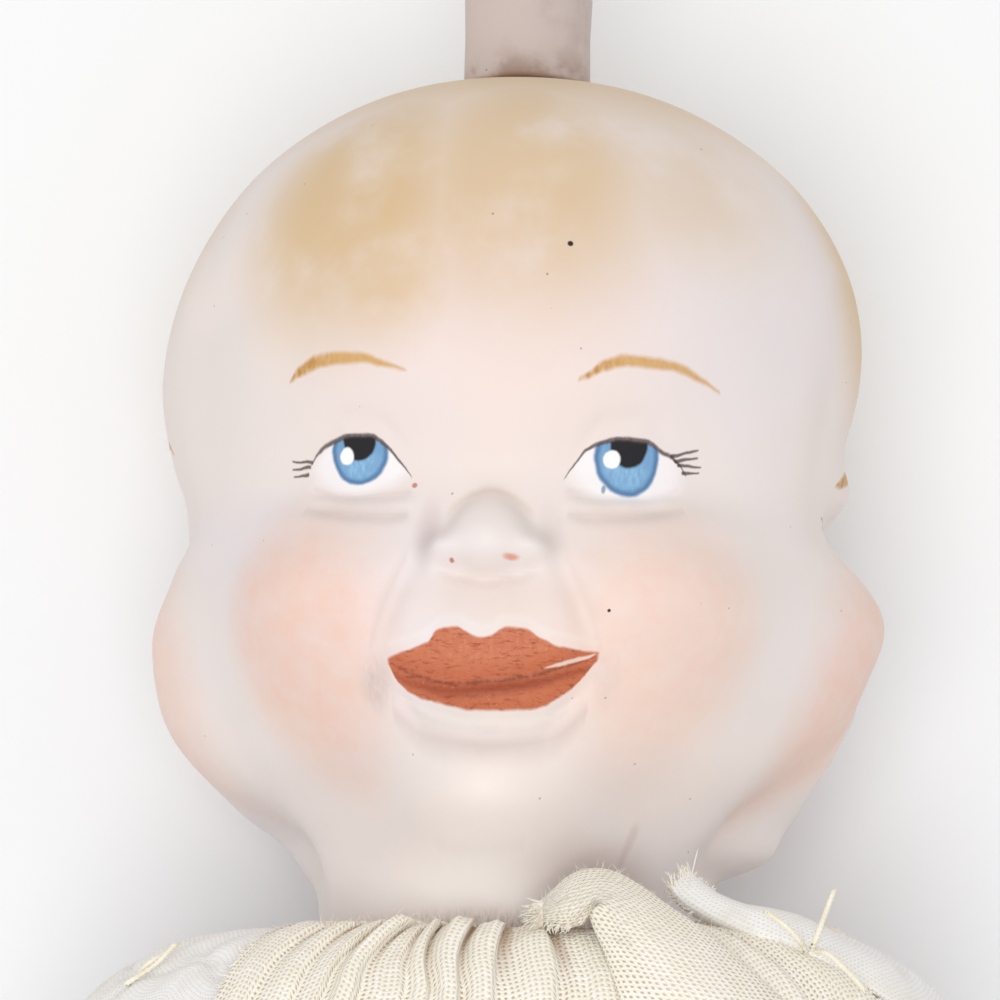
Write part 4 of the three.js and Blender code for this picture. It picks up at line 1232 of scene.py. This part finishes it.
def build_gauze(material, thread_material):
    bib, bib_crest = bib_surface(150, 34)
    fold, fold_crest = fold_surface(170, 70)
    points, faces, uv = [], [], []
    for surface in (bib, fold):
        grid = grid_faces(*surface.shape[:2])
        # Gathering squeezes the threads together, so half of each row's own width is used.
        along = grid_lengths(surface, 1)
        along = along - along[:, [along.shape[1] // 2]]
        along = along * 0.5 + along.mean(axis=0, keepdims=True) * 0.5
        uv.append(weave_uv(grid, along, grid_lengths(surface, 0)))
        faces.extend((np.asarray(grid) + sum(len(p) for p in points)).tolist())
        points.append(surface.reshape(-1, 3))
    gauze = add_mesh("gauze_bib_cloth", np.concatenate(points), faces, material, "handle")
    set_uv(gauze.data, "weave", np.concatenate(uv))
    add_attribute(gauze.data, "crest", np.concatenate([np.ravel(bib_crest), np.ravel(fold_crest)]))
    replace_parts(gauze, "gauze_bib")

    fringe = frayed_edge(fold[-1], np.array([-0.8, -0.5, 0.3]), 170, 1.5, seed=3, spread=0.24)
    fringe += frayed_edge(fold[-34:, 7], np.array([-0.5, -0.8, 0.4]), 46, 0.8, seed=4)
    fringe += frayed_edge(bib[-1], np.array([0, -1, 0.15]), 210, 1.6, seed=5, spread=0.25)
    fringe += frayed_edge(bib[25:, 0], np.array([-0.8, -0.2, 0.3]), 60, 0.7, seed=6)
    fringe += frayed_edge(bib[25:, -1], np.array([0.8, -0.2, 0.3]), 60, 0.7, seed=7)
    add_tubes("gauze_fringe", fringe, 0.055, thread_material, sides=4)

    fuzz = scattered_hairs(bib[18:60], 300, seed=900) + scattered_hairs(fold[60:], 320, seed=2000)
    add_tubes("gauze_fuzz", fuzz, 0.024, thread_material, sides=3)


def build_cotton_roll(material, thread_material):
    """The cover's raw neck edge, rolled up beside the gauze and over the shoulder."""
    points, _, _ = rolled_cloth(COTTON_ROLL_ROWS, COTTON_BULGE_WAY, 110, 36, seed=61, tuck=2.6)
    faces = grid_faces(*points.shape[:2])
    roll = add_mesh("cotton_neck_edge", points.reshape(-1, 3), faces, material, "handle")
    set_uv(roll.data, "weave", weave_uv(faces, grid_lengths(points, 1), grid_lengths(points, 0)))
    ends = frayed_edge(points[-1], np.array([-0.45, 0.75, 0.4]), 60, 0.9, seed=13)
    ends += frayed_edge(points[-26:, 30], np.array([0.5, 0.6, 0.3]), 24, 0.5, seed=14)
    ends += frayed_edge(points[-20:, 2], np.array([-0.7, -0.2, 0.6]), 20, 0.6, seed=15)
    ends.append(curve_through([(14.9, 49.4, 48.2), (15.2, 50.6, 49.6), (15.6, 52.4, 51.6)], 12))
    add_tubes("cotton_frays", ends, 0.06, thread_material, sides=4)


def replace_thread(node, name, paths, radius, material):
    strands = [strand for path in paths for strand in twisted_thread(path, radius)]
    thread = add_tubes(name, strands, radius * 0.62, material)
    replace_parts(thread, node)


def build_threads(material):
    """The hem's tie, the tacking stitches and the cut thread ends beside the right one."""
    turns = np.linspace(0, 3 * TAU, 260)
    reach = HEM_THREAD_REACH + 0.12 * np.sin(turns * 3.3)
    hem = around_axis(reach, HEM_THREAD_Y + 0.42 * (turns / TAU - 1.5), turns)
    neck_low, neck_high = box_mm("neck_thread")
    neck_reach = (neck_high[0] - neck_low[0]) / 2 - 0.4
    neck = around_axis(neck_reach, (neck_low[1] + neck_high[1]) / 2, np.linspace(0, TAU, 90))
    replace_thread("hem_thread", "hem_tie", [hem], 0.24, material)
    for node in ("left_shoulder_stitch", "right_shoulder_stitch"):
        low, high = box_mm(node)
        left = node.startswith("left")
        start = np.array([low[0] if left else high[0], low[1], (low[2] + high[2]) / 2])
        end = np.array([high[0] if left else low[0], high[1], (low[2] + high[2]) / 2 + 0.3])
        middle = (start + end) / 2
        bend = np.array([0.35, -0.1, 0.35])
        paths = [
            curve_through([start - [0, 0, 0.8], start, middle + bend, end, end - [0, 0, 0.8]], 24),
            curve_through([start + [0.5, 0.3, -0.8], middle - bend * 0.6, end + [0.5, 0.2, -0.8]], 16),
        ]
        replace_thread(node, node + "_thread", paths, 0.24, material)
    replace_thread("neck_thread", "neck_tie", [neck], 0.2, material)
    tails = [
        [(25.2, 44.2, 48.2), (25.6, 45.2, 49.6), (26.3, 47.2, 50.2), (27.1, 49.4, 50.6)],
        [(25.0, 44.0, 48.4), (24.4, 44.8, 50.0), (23.1, 46.0, 51.2), (21.2, 47.3, 51.6)],
        [(25.6, 44.4, 48.6), (26.6, 44.0, 50.0), (28.2, 42.6, 50.2), (29.8, 41.0, 49.6)],
    ]
    strands = [s for tail in tails for s in twisted_thread(curve_through(tail, 30), 0.24)]
    add_tubes("cut_thread_ends", strands, 0.14, material)


# ---------------------------------------------------------------- turned pieces

def lathe(profile, segments=72):
    """A closed solid turned about the long axis from (radius, y) points, axis to axis."""
    turn = np.linspace(0, TAU, segments, endpoint=False)
    profile = np.asarray(profile, dtype=float)
    rings = profile[1:-1]
    points = around_axis(rings[:, :1], rings[:, 1:], turn).reshape(-1, 3)
    faces = grid_faces(len(rings), segments, wrap_columns=True)
    ends = [(0, profile[0, 1], AXIS_HEIGHT), (0, profile[-1, 1], AXIS_HEIGHT)]
    first, last = len(points), len(points) + 1
    for j in range(segments):
        after = (j + 1) % segments
        faces.append([first, j, after])
        base = (len(rings) - 1) * segments
        faces.append([last, base + after, base + j])
    return np.concatenate([points, ends]), faces


def rounded(profile, radius=0.35, steps=4):
    """A profile whose corners are rounded off by about the radius."""
    profile = np.asarray(profile, dtype=float)
    result = [profile[0]]
    for before, corner, after in zip(profile, profile[1:], profile[2:]):
        start_reach = min(radius, np.linalg.norm(before - corner) * 0.45)
        end_reach = min(radius, np.linalg.norm(after - corner) * 0.45)
        start = corner + unit(before - corner) * start_reach
        end = corner + unit(after - corner) * end_reach
        for w in np.linspace(0, 1, steps):
            result.append((1 - w) ** 2 * start + 2 * w * (1 - w) * corner + w * w * end)
    result.append(profile[-1])
    return np.array(result)


def add_turned(name, profile, material, body, node, segments=72):
    points, faces = lathe(profile, segments)
    piece = add_mesh(name, points, faces, material, body)
    piece.data.set_sharp_from_angle(angle=math.radians(50))
    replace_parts(piece, node)
    return piece


def build_crown_post(material):
    foot = HEAD_CENTRE + CROWN_RIM + 0.3
    top = post_high[1]
    radius = post_high[0] - 0.4
    spigot = 4.4
    profile = [
        (0, post_low[1]), (spigot, post_low[1]), (spigot, foot), (radius, foot),
        (radius - 0.05, foot + 0.3 * (top - foot)), (radius + 0.08, foot + 0.6 * (top - foot)),
        (radius + 0.4, top - 1.0), (radius + 0.1, top - 0.3), (radius - 0.5, top), (0, top - 0.25),
    ]
    post = add_turned("crown_knob", rounded(profile, 0.5, 6), material, "head", "crown_post", 96)
    # Pressed by hand into its mould, so it isn't quite round or straight.
    places = np.array([vertex.co for vertex in post.data.vertices]) / MM
    uneven = waves(places, 7, seed=71) * 0.07 * smooth(places[:, 1], foot, foot + 1)
    places[:, 0] *= 1 + uneven / radius
    places[:, 2] += (places[:, 2] - AXIS_HEIGHT) * uneven / radius
    post.data.vertices.foreach_set("co", (places * MM).ravel())
    return post


def build_handle(material):
    """The grip and its collar, turned smooth, with fine tool rings left on them."""
    low, high = box_mm("handle_grip")
    collar_low, collar_high = box_mm("handle_collar")
    ball = high[0]
    centre = low[1] + ball - 1
    angles = np.radians(np.linspace(-64, 52, 22))
    shoulder = collar_low[1] - 0.3
    neck, seat, bore = 7.0, high[1], 4.3
    grip_line = [
        (6.9, centre + 8.6), (6.0, centre + 11), (6.3, -120), (7.0, -110), (8.1, -99),
        (8.6, -87), (8.3, -76), (7.4, -68), (6.8, -63.6),
    ]
    line = curve_through(grip_line, 60)
    profile = [(0, low[1] + 0.1), (3.6, low[1])]
    profile += [(ball * math.cos(a), centre + ball * math.sin(a)) for a in angles]
    profile += line.tolist()
    flange = rounded([(6.8, -63.2), (8.8, -61.2), (8.8, shoulder), (neck, shoulder)], 0.5, 5)
    profile += flange[1:-1].tolist()
    profile += [(neck, shoulder), (neck, seat), (bore, seat), (bore, spindle_low[1] - 0.6)]
    profile += [(0, spindle_low[1] - 0.6)]
    add_turned("turned_grip", profile, material, "handle", "handle_grip")

    middle = (collar_low[1] + collar_high[1]) / 2
    half = (collar_high[1] - collar_low[1]) / 2
    reach = collar_high[0]
    bead = [
        (reach - 1.5 * abs(s) ** 2.6, middle + half * s * 0.98)
        for s in np.linspace(-1, 1, 26)
    ]
    groove = [(r - 0.28 * math.exp(-(((y - middle) / 0.25) ** 2)), y) for r, y in bead]
    bore_line = [(neck + 0.3, collar_high[1]), (neck + 0.3, collar_low[1])]
    turn = np.linspace(0, TAU, 80, endpoint=False)
    rings = np.array(groove + bore_line)
    points = around_axis(rings[:, :1], rings[:, 1:], turn)
    faces = grid_faces(len(rings), len(turn), wrap_rows=True, wrap_columns=True)
    collar = add_mesh("turned_collar", points.reshape(-1, 3), faces, material, "handle")
    collar.data.set_sharp_from_angle(angle=math.radians(50))
    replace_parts(collar, "handle_collar")


# ---------------------------------------------------------------- other materials

def weave_material(name, colour, gap_colour, pitch, openness, warp_tint, gap_shade=None, height=0.13):
    """Plain-woven cloth: threads over and under each other, with gaps between them."""
    g = Graph(name, colour, 0.92)
    where = g.place()
    u, v = g.uv("weave")
    wander = 1.2 * pitch             # how far the threads stray from straight
    drift = (g.noise(where, 3.2, detail=3) - 0.5) * wander
    drift_too = (g.noise(g.vector(v, u, 5.0), 2.6, detail=3) - 0.5) * wander
    u = (u + drift) * (1 / pitch)
    v = (v + drift_too) * (1 / pitch)
    warp = g.math("COSINE", u * TAU) * 0.5 + 0.5
    weft = g.math("COSINE", v * TAU) * 0.5 + 0.5
    over = g.math("COSINE", u * math.pi) * g.math("COSINE", v * math.pi)
    slub_u = g.noise(g.vector(g.math("ROUND", u) * 7.3, v * 0.12, 1.0), 1.0, detail=1)
    slub_v = g.noise(g.vector(u * 0.12, g.math("ROUND", v) * 5.9, 2.0), 1.0, detail=1)
    g.paint(warp_tint, g.step(slub_u, 0.45, 0.75) * warp * 0.55)
    g.paint(warp_tint, g.step(slub_v, 0.45, 0.75) * weft * 0.55)
    gap = (1 - warp) * (1 - weft)
    fullness = (slub_u + slub_v) * 0.35 - 0.35
    gap = g.step(gap, 0.62 - openness + fullness, 0.95 - openness * 0.6 + fullness)
    relief = g.math("MAXIMUM", warp + over * 0.4, weft - over * 0.4)
    g.emboss(relief, pitch * height)
    g.emboss(g.noise(where, 0.11, detail=2), 0.03)
    # The gaps are painted gap_colour; gap_shade, where given, darkens them more as painted shade.
    g.paint(gap_colour, gap * gap_shade(g) if gap_shade else gap)
    g.shader.inputs["Sheen Weight"].default_value = 0.2
    return g, where


def gauze_material():
    # The brown gaps stand in for the shaded cloth seen through them, and are darker in the pleats' valleys
    # as painted shade.
    g, where = weave_material(
        "cream_gauze", (246, 241, 227), (166, 138, 106), pitch=0.5, openness=0.28,
        warp_tint=(255, 254, 250), gap_shade=lambda g: 0.95 - g.attribute("crest") * 0.5,
    )
    crest = g.attribute("crest")
    _, down = g.uv("weave")
    blotch = g.noise(where, 4.5, detail=4, roughness=0.6)
    # Painted shade: brown in the pleats' valleys near the tied edge.
    g.paint((152, 114, 78), g.step(crest, 0.6, 0.36) * 0.75 * g.step(down, 14.0, 6.0))
    g.paint((178, 132, 92), g.step(down, 9.5, 5.5) * g.step(blotch, 0.48, 0.62) * 0.6)
    g.paint((236, 222, 192), g.step(blotch, 0.42, 0.2) * 0.4)
    return g.finish()


def cotton_material():
    g, where = weave_material(
        "white_cotton", (241, 240, 238), (216, 214, 211), pitch=0.42, openness=0.1,
        warp_tint=(246, 246, 245), height=0.08,
    )
    stain = g.noise(where, 16, detail=4, roughness=0.6)
    g.paint((222, 211, 188), g.step(stain, 0.5, 0.72) * 0.5)
    g.paint((224, 220, 213), g.step(g.noise(where, 4.0, detail=4), 0.5, 0.7) * 0.45)
    _, y, z = g.split(where)
    # Painted shade darkens the underside it lies on, and the hem, which has been handled most, is browner.
    g.paint((214, 206, 192), g.step(z, 9.0, 1.0) * 0.3)
    g.paint((206, 192, 166), g.step(y, -38.0, -50.0) * 0.45)
    return g.finish()


def thread_material(name, colour, roughness, tint, fibres):
    """Loose thread: tint is a colour, its blotches' size, where it starts and how strong it is."""
    g = Graph(name, colour, roughness)
    where = g.place()
    other, size, start, strength = tint
    g.paint(other, g.step(g.noise(where, size, detail=3), start, 0.7) * strength)
    fibre_size, fibre_height = fibres
    g.emboss(g.noise(where, fibre_size, detail=2), fibre_height)
    g.shader.inputs["Sheen Weight"].default_value = 0.2
    return g.finish()


def post_material():
    """The knob's bare bisque, greyer than the head; painted light on one side, and at its foot stain mixed
    with painted shade.
    """
    g = Graph("knob_bisque", (196, 182, 177), 0.6)
    where = g.place()
    x, y, _ = g.split(where)
    clouds = g.noise(where, 5.0, detail=4, roughness=0.6)
    # Lighter on its -X side: painted light.
    g.paint((206, 190, 182), g.step(x, 1.0, -5.0) * 0.6)
    g.paint((178, 160, 154), g.step(clouds, 0.5, 0.72) * 0.5)
    # At its foot: brown stain mixed with painted shade, and a narrow band of painted shade where it meets
    # the head.
    foot = HEAD_CENTRE + CROWN_RIM
    g.paint((140, 104, 80), g.step(y, foot + 3.5, foot + 0.2) * g.step(clouds, 0.4, 0.6) * 0.65)
    g.paint((120, 84, 62), g.step(y, foot + 0.9, foot + 0.1) * 0.5)
    specks, chance = g.cells(where, 1.6)
    g.paint((108, 78, 62), g.step(specks, 0.09, 0.05) * g.step(chance, 0.6, 0.62) * 0.7)
    g.emboss(g.noise(where, 0.3, detail=3), 0.02)
    g.emboss(clouds, 0.05)
    return g.finish()


def wood_material(name, colour, dark, roughness, ring_size=1.3, finish=0.0):
    """Turned wood: grain drawn out along the long axis, pores and worn edges."""
    g = Graph(name, colour, roughness)
    where = g.place()
    x, y, z = g.split(where)
    bend = g.noise(g.vector(x * 0.05, y * 0.02, z * 0.05), 0.6, detail=3)
    bent = g.vector(x + bend * 6, y * 0.035, z * 0.5 + bend * 4)
    rings = g.noise(bent, ring_size, detail=3, roughness=0.55)
    g.paint(dark, g.step(rings, 0.42, 0.66) * 0.75)
    pores = g.noise(g.vector(x * 5.0, y * 0.35, z * 5.0), 1.0, detail=2)
    g.paint(dark, g.step(pores, 0.62, 0.72) * 0.45)
    wear = g.noise(where, 14, detail=3)
    lighter = tuple(min(255, int(c * 1.06 + 4)) for c in colour)
    g.paint(lighter, g.step(wear, 0.5, 0.72) * 0.5)
    tool = g.math("SINE", y * (TAU / 0.9)) * 0.5 + 0.5
    g.emboss(tool, 0.012)
    g.emboss(pores, -0.03)
    g.shader.inputs["Coat Weight"].default_value = finish
    g.shader.inputs["Coat Roughness"].default_value = 0.25
    return g.finish()


def mottled_material(name, colour, other, roughness, size, bump, metallic=0.0):
    """A plain stuff with two tones in uneven blotches and a rough or hammered surface."""
    g = Graph(name, colour, roughness)
    where = g.place()
    blotches = g.noise(where, size, detail=4, roughness=0.6)
    g.paint(other, g.step(blotches, 0.42, 0.66) * 0.8)
    g.emboss(blotches, bump)
    g.emboss(g.noise(where, size * 0.2, detail=3), bump * 0.5)
    g.shader.inputs["Metallic"].default_value = metallic
    return g.finish()


def dress_hidden_pieces(wood):
    """Materials for the pieces that keep their plain turned or cut shapes."""
    dowel = wood_material("dowel_wood", (214, 186, 138), (190, 156, 106), 0.7, ring_size=0.9)
    stuffs = {
        "card": ("grey_card", (168, 146, 112), (146, 122, 90), 0.9, 1.4, 0.06),
        "cork": ("cork_grain", (186, 140, 92), (132, 90, 54), 0.9, 1.1, 0.12),
        "felt": ("wool_felt", (146, 140, 130), (124, 118, 110), 0.95, 0.5, 0.12),
        "leather": ("old_leather", (112, 76, 48), (84, 54, 34), 0.6, 1.2, 0.08),
        "brass": ("worn_brass", (186, 150, 86), (140, 104, 58), 0.35, 0.8, 0.02, 1.0),
        "pea": ("dried_pea_skin", (188, 166, 98), (156, 132, 70), 0.65, 0.9, 0.12),
        "wadding": ("cotton_wadding", (232, 222, 200), (214, 202, 176), 0.95, 1.8, 0.35),
    }
    looks = {slot_name: mottled_material(*stuff) for slot_name, stuff in stuffs.items()}
    looks.update(dowel=dowel, turned_wood=wood)
    replaced = {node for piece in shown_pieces() for node in piece.get("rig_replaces", [])}
    for part in frame["record"]["subparts"]:
        if part["node"] in replaced:
            continue
        node = frame["nodes"][part["node"]]
        node.data.materials.clear()
        node.data.materials.append(looks[part["material_slot"]])


build_head(bisque_material())
cotton = cotton_material()
fringe = thread_material(
    "gauze_threads", (250, 246, 236), 0.9, tint=((232, 218, 190), 2.5, 0.5, 0.5), fibres=(0.08, 0.02),
)
thread = thread_material(
    "cream_thread", (244, 239, 222), 0.85, tint=((228, 214, 180), 1.4, 0.45, 0.55), fibres=(0.09, 0.03),
)
build_cotton_body(cotton)
build_gauze(gauze_material(), fringe)
build_cotton_roll(cotton, fringe)
build_threads(thread)
build_crown_post(post_material())
wood = wood_material("turned_beech", (198, 158, 104), (160, 118, 70), 0.5, finish=0.25)
build_handle(wood)
dress_hidden_pieces(wood)


# ---------------------------------------------------------------- floor, light and camera

def make_floor():
    g = Graph("pale_floor", (243, 245, 247), 0.8)
    material = g.finish()
    size = 3000
    corners = [(-size, -size, 0), (size, -size, 0), (size, size, 0), (-size, size, 0)]
    mesh = bpy.data.meshes.new("floor")
    mesh.from_pydata([tuple(c * MM for c in corner) for corner in corners], [], [(0, 1, 2, 3)])
    mesh.materials.append(material)
    floor = bpy.data.objects.new("floor", mesh)
    bpy.context.collection.objects.link(floor)


def area_light(name, place, target, size, power):
    data = bpy.data.lights.new(name, "AREA")
    data.shape = "DISK"
    data.size = size * MM
    data.energy = power
    light = bpy.data.objects.new(name, data)
    light.location = Vector(place) * MM
    aim = (Vector(target) - Vector(place)).normalized()
    light.rotation_euler = aim.to_track_quat("-Z", "Y").to_euler()
    bpy.context.collection.objects.link(light)


def make_camera():
    """Looks down at the face from a little towards the feet, rolled as it was held."""
    distance = 560
    field = 88                   # width of the picture at the long axis
    tilt = math.radians(11.5)
    roll = math.radians(1.3)
    shift_right, shift_up = -1.72, -6.78   # picture's middle from the cranium's middle
    toward = Vector((0, -math.sin(tilt), math.cos(tilt)))
    level = Vector((1, 0, 0))
    up = toward.cross(level)
    right = level * math.cos(roll) + up * math.sin(roll)
    up = up * math.cos(roll) - level * math.sin(roll)
    middle = Vector((0, HEAD_CENTRE, AXIS_HEIGHT)) + right * shift_right + up * shift_up
    data = bpy.data.cameras.new("camera")
    data.sensor_width = 36
    data.lens = data.sensor_width * distance / field
    data.clip_start = 0.01
    camera = bpy.data.objects.new("camera", data)
    pose = Matrix((right, up, toward)).transposed().to_4x4()
    pose.translation = (middle + toward * distance) * MM
    camera.matrix_world = pose
    bpy.context.collection.objects.link(camera)
    bpy.context.scene.camera = camera


def make_world():
    world = bpy.data.worlds.new("studio")
    world.use_nodes = True
    background = world.node_tree.nodes["Background"]
    background.inputs["Color"].default_value = (1.0, 0.985, 0.97, 1)
    background.inputs["Strength"].default_value = 0.75
    bpy.context.scene.world = world


make_floor()
head_middle = (0, HEAD_CENTRE - 10, AXIS_HEIGHT)
area_light("key", (-60, 330, 660), head_middle, 460, 0.25)
area_light("front", (-60, -130, 720), (0, HEAD_CENTRE - 50, AXIS_HEIGHT), 420, 1.95)
make_world()
make_camera()
bpy.context.scene.view_settings.view_transform = "Standard"
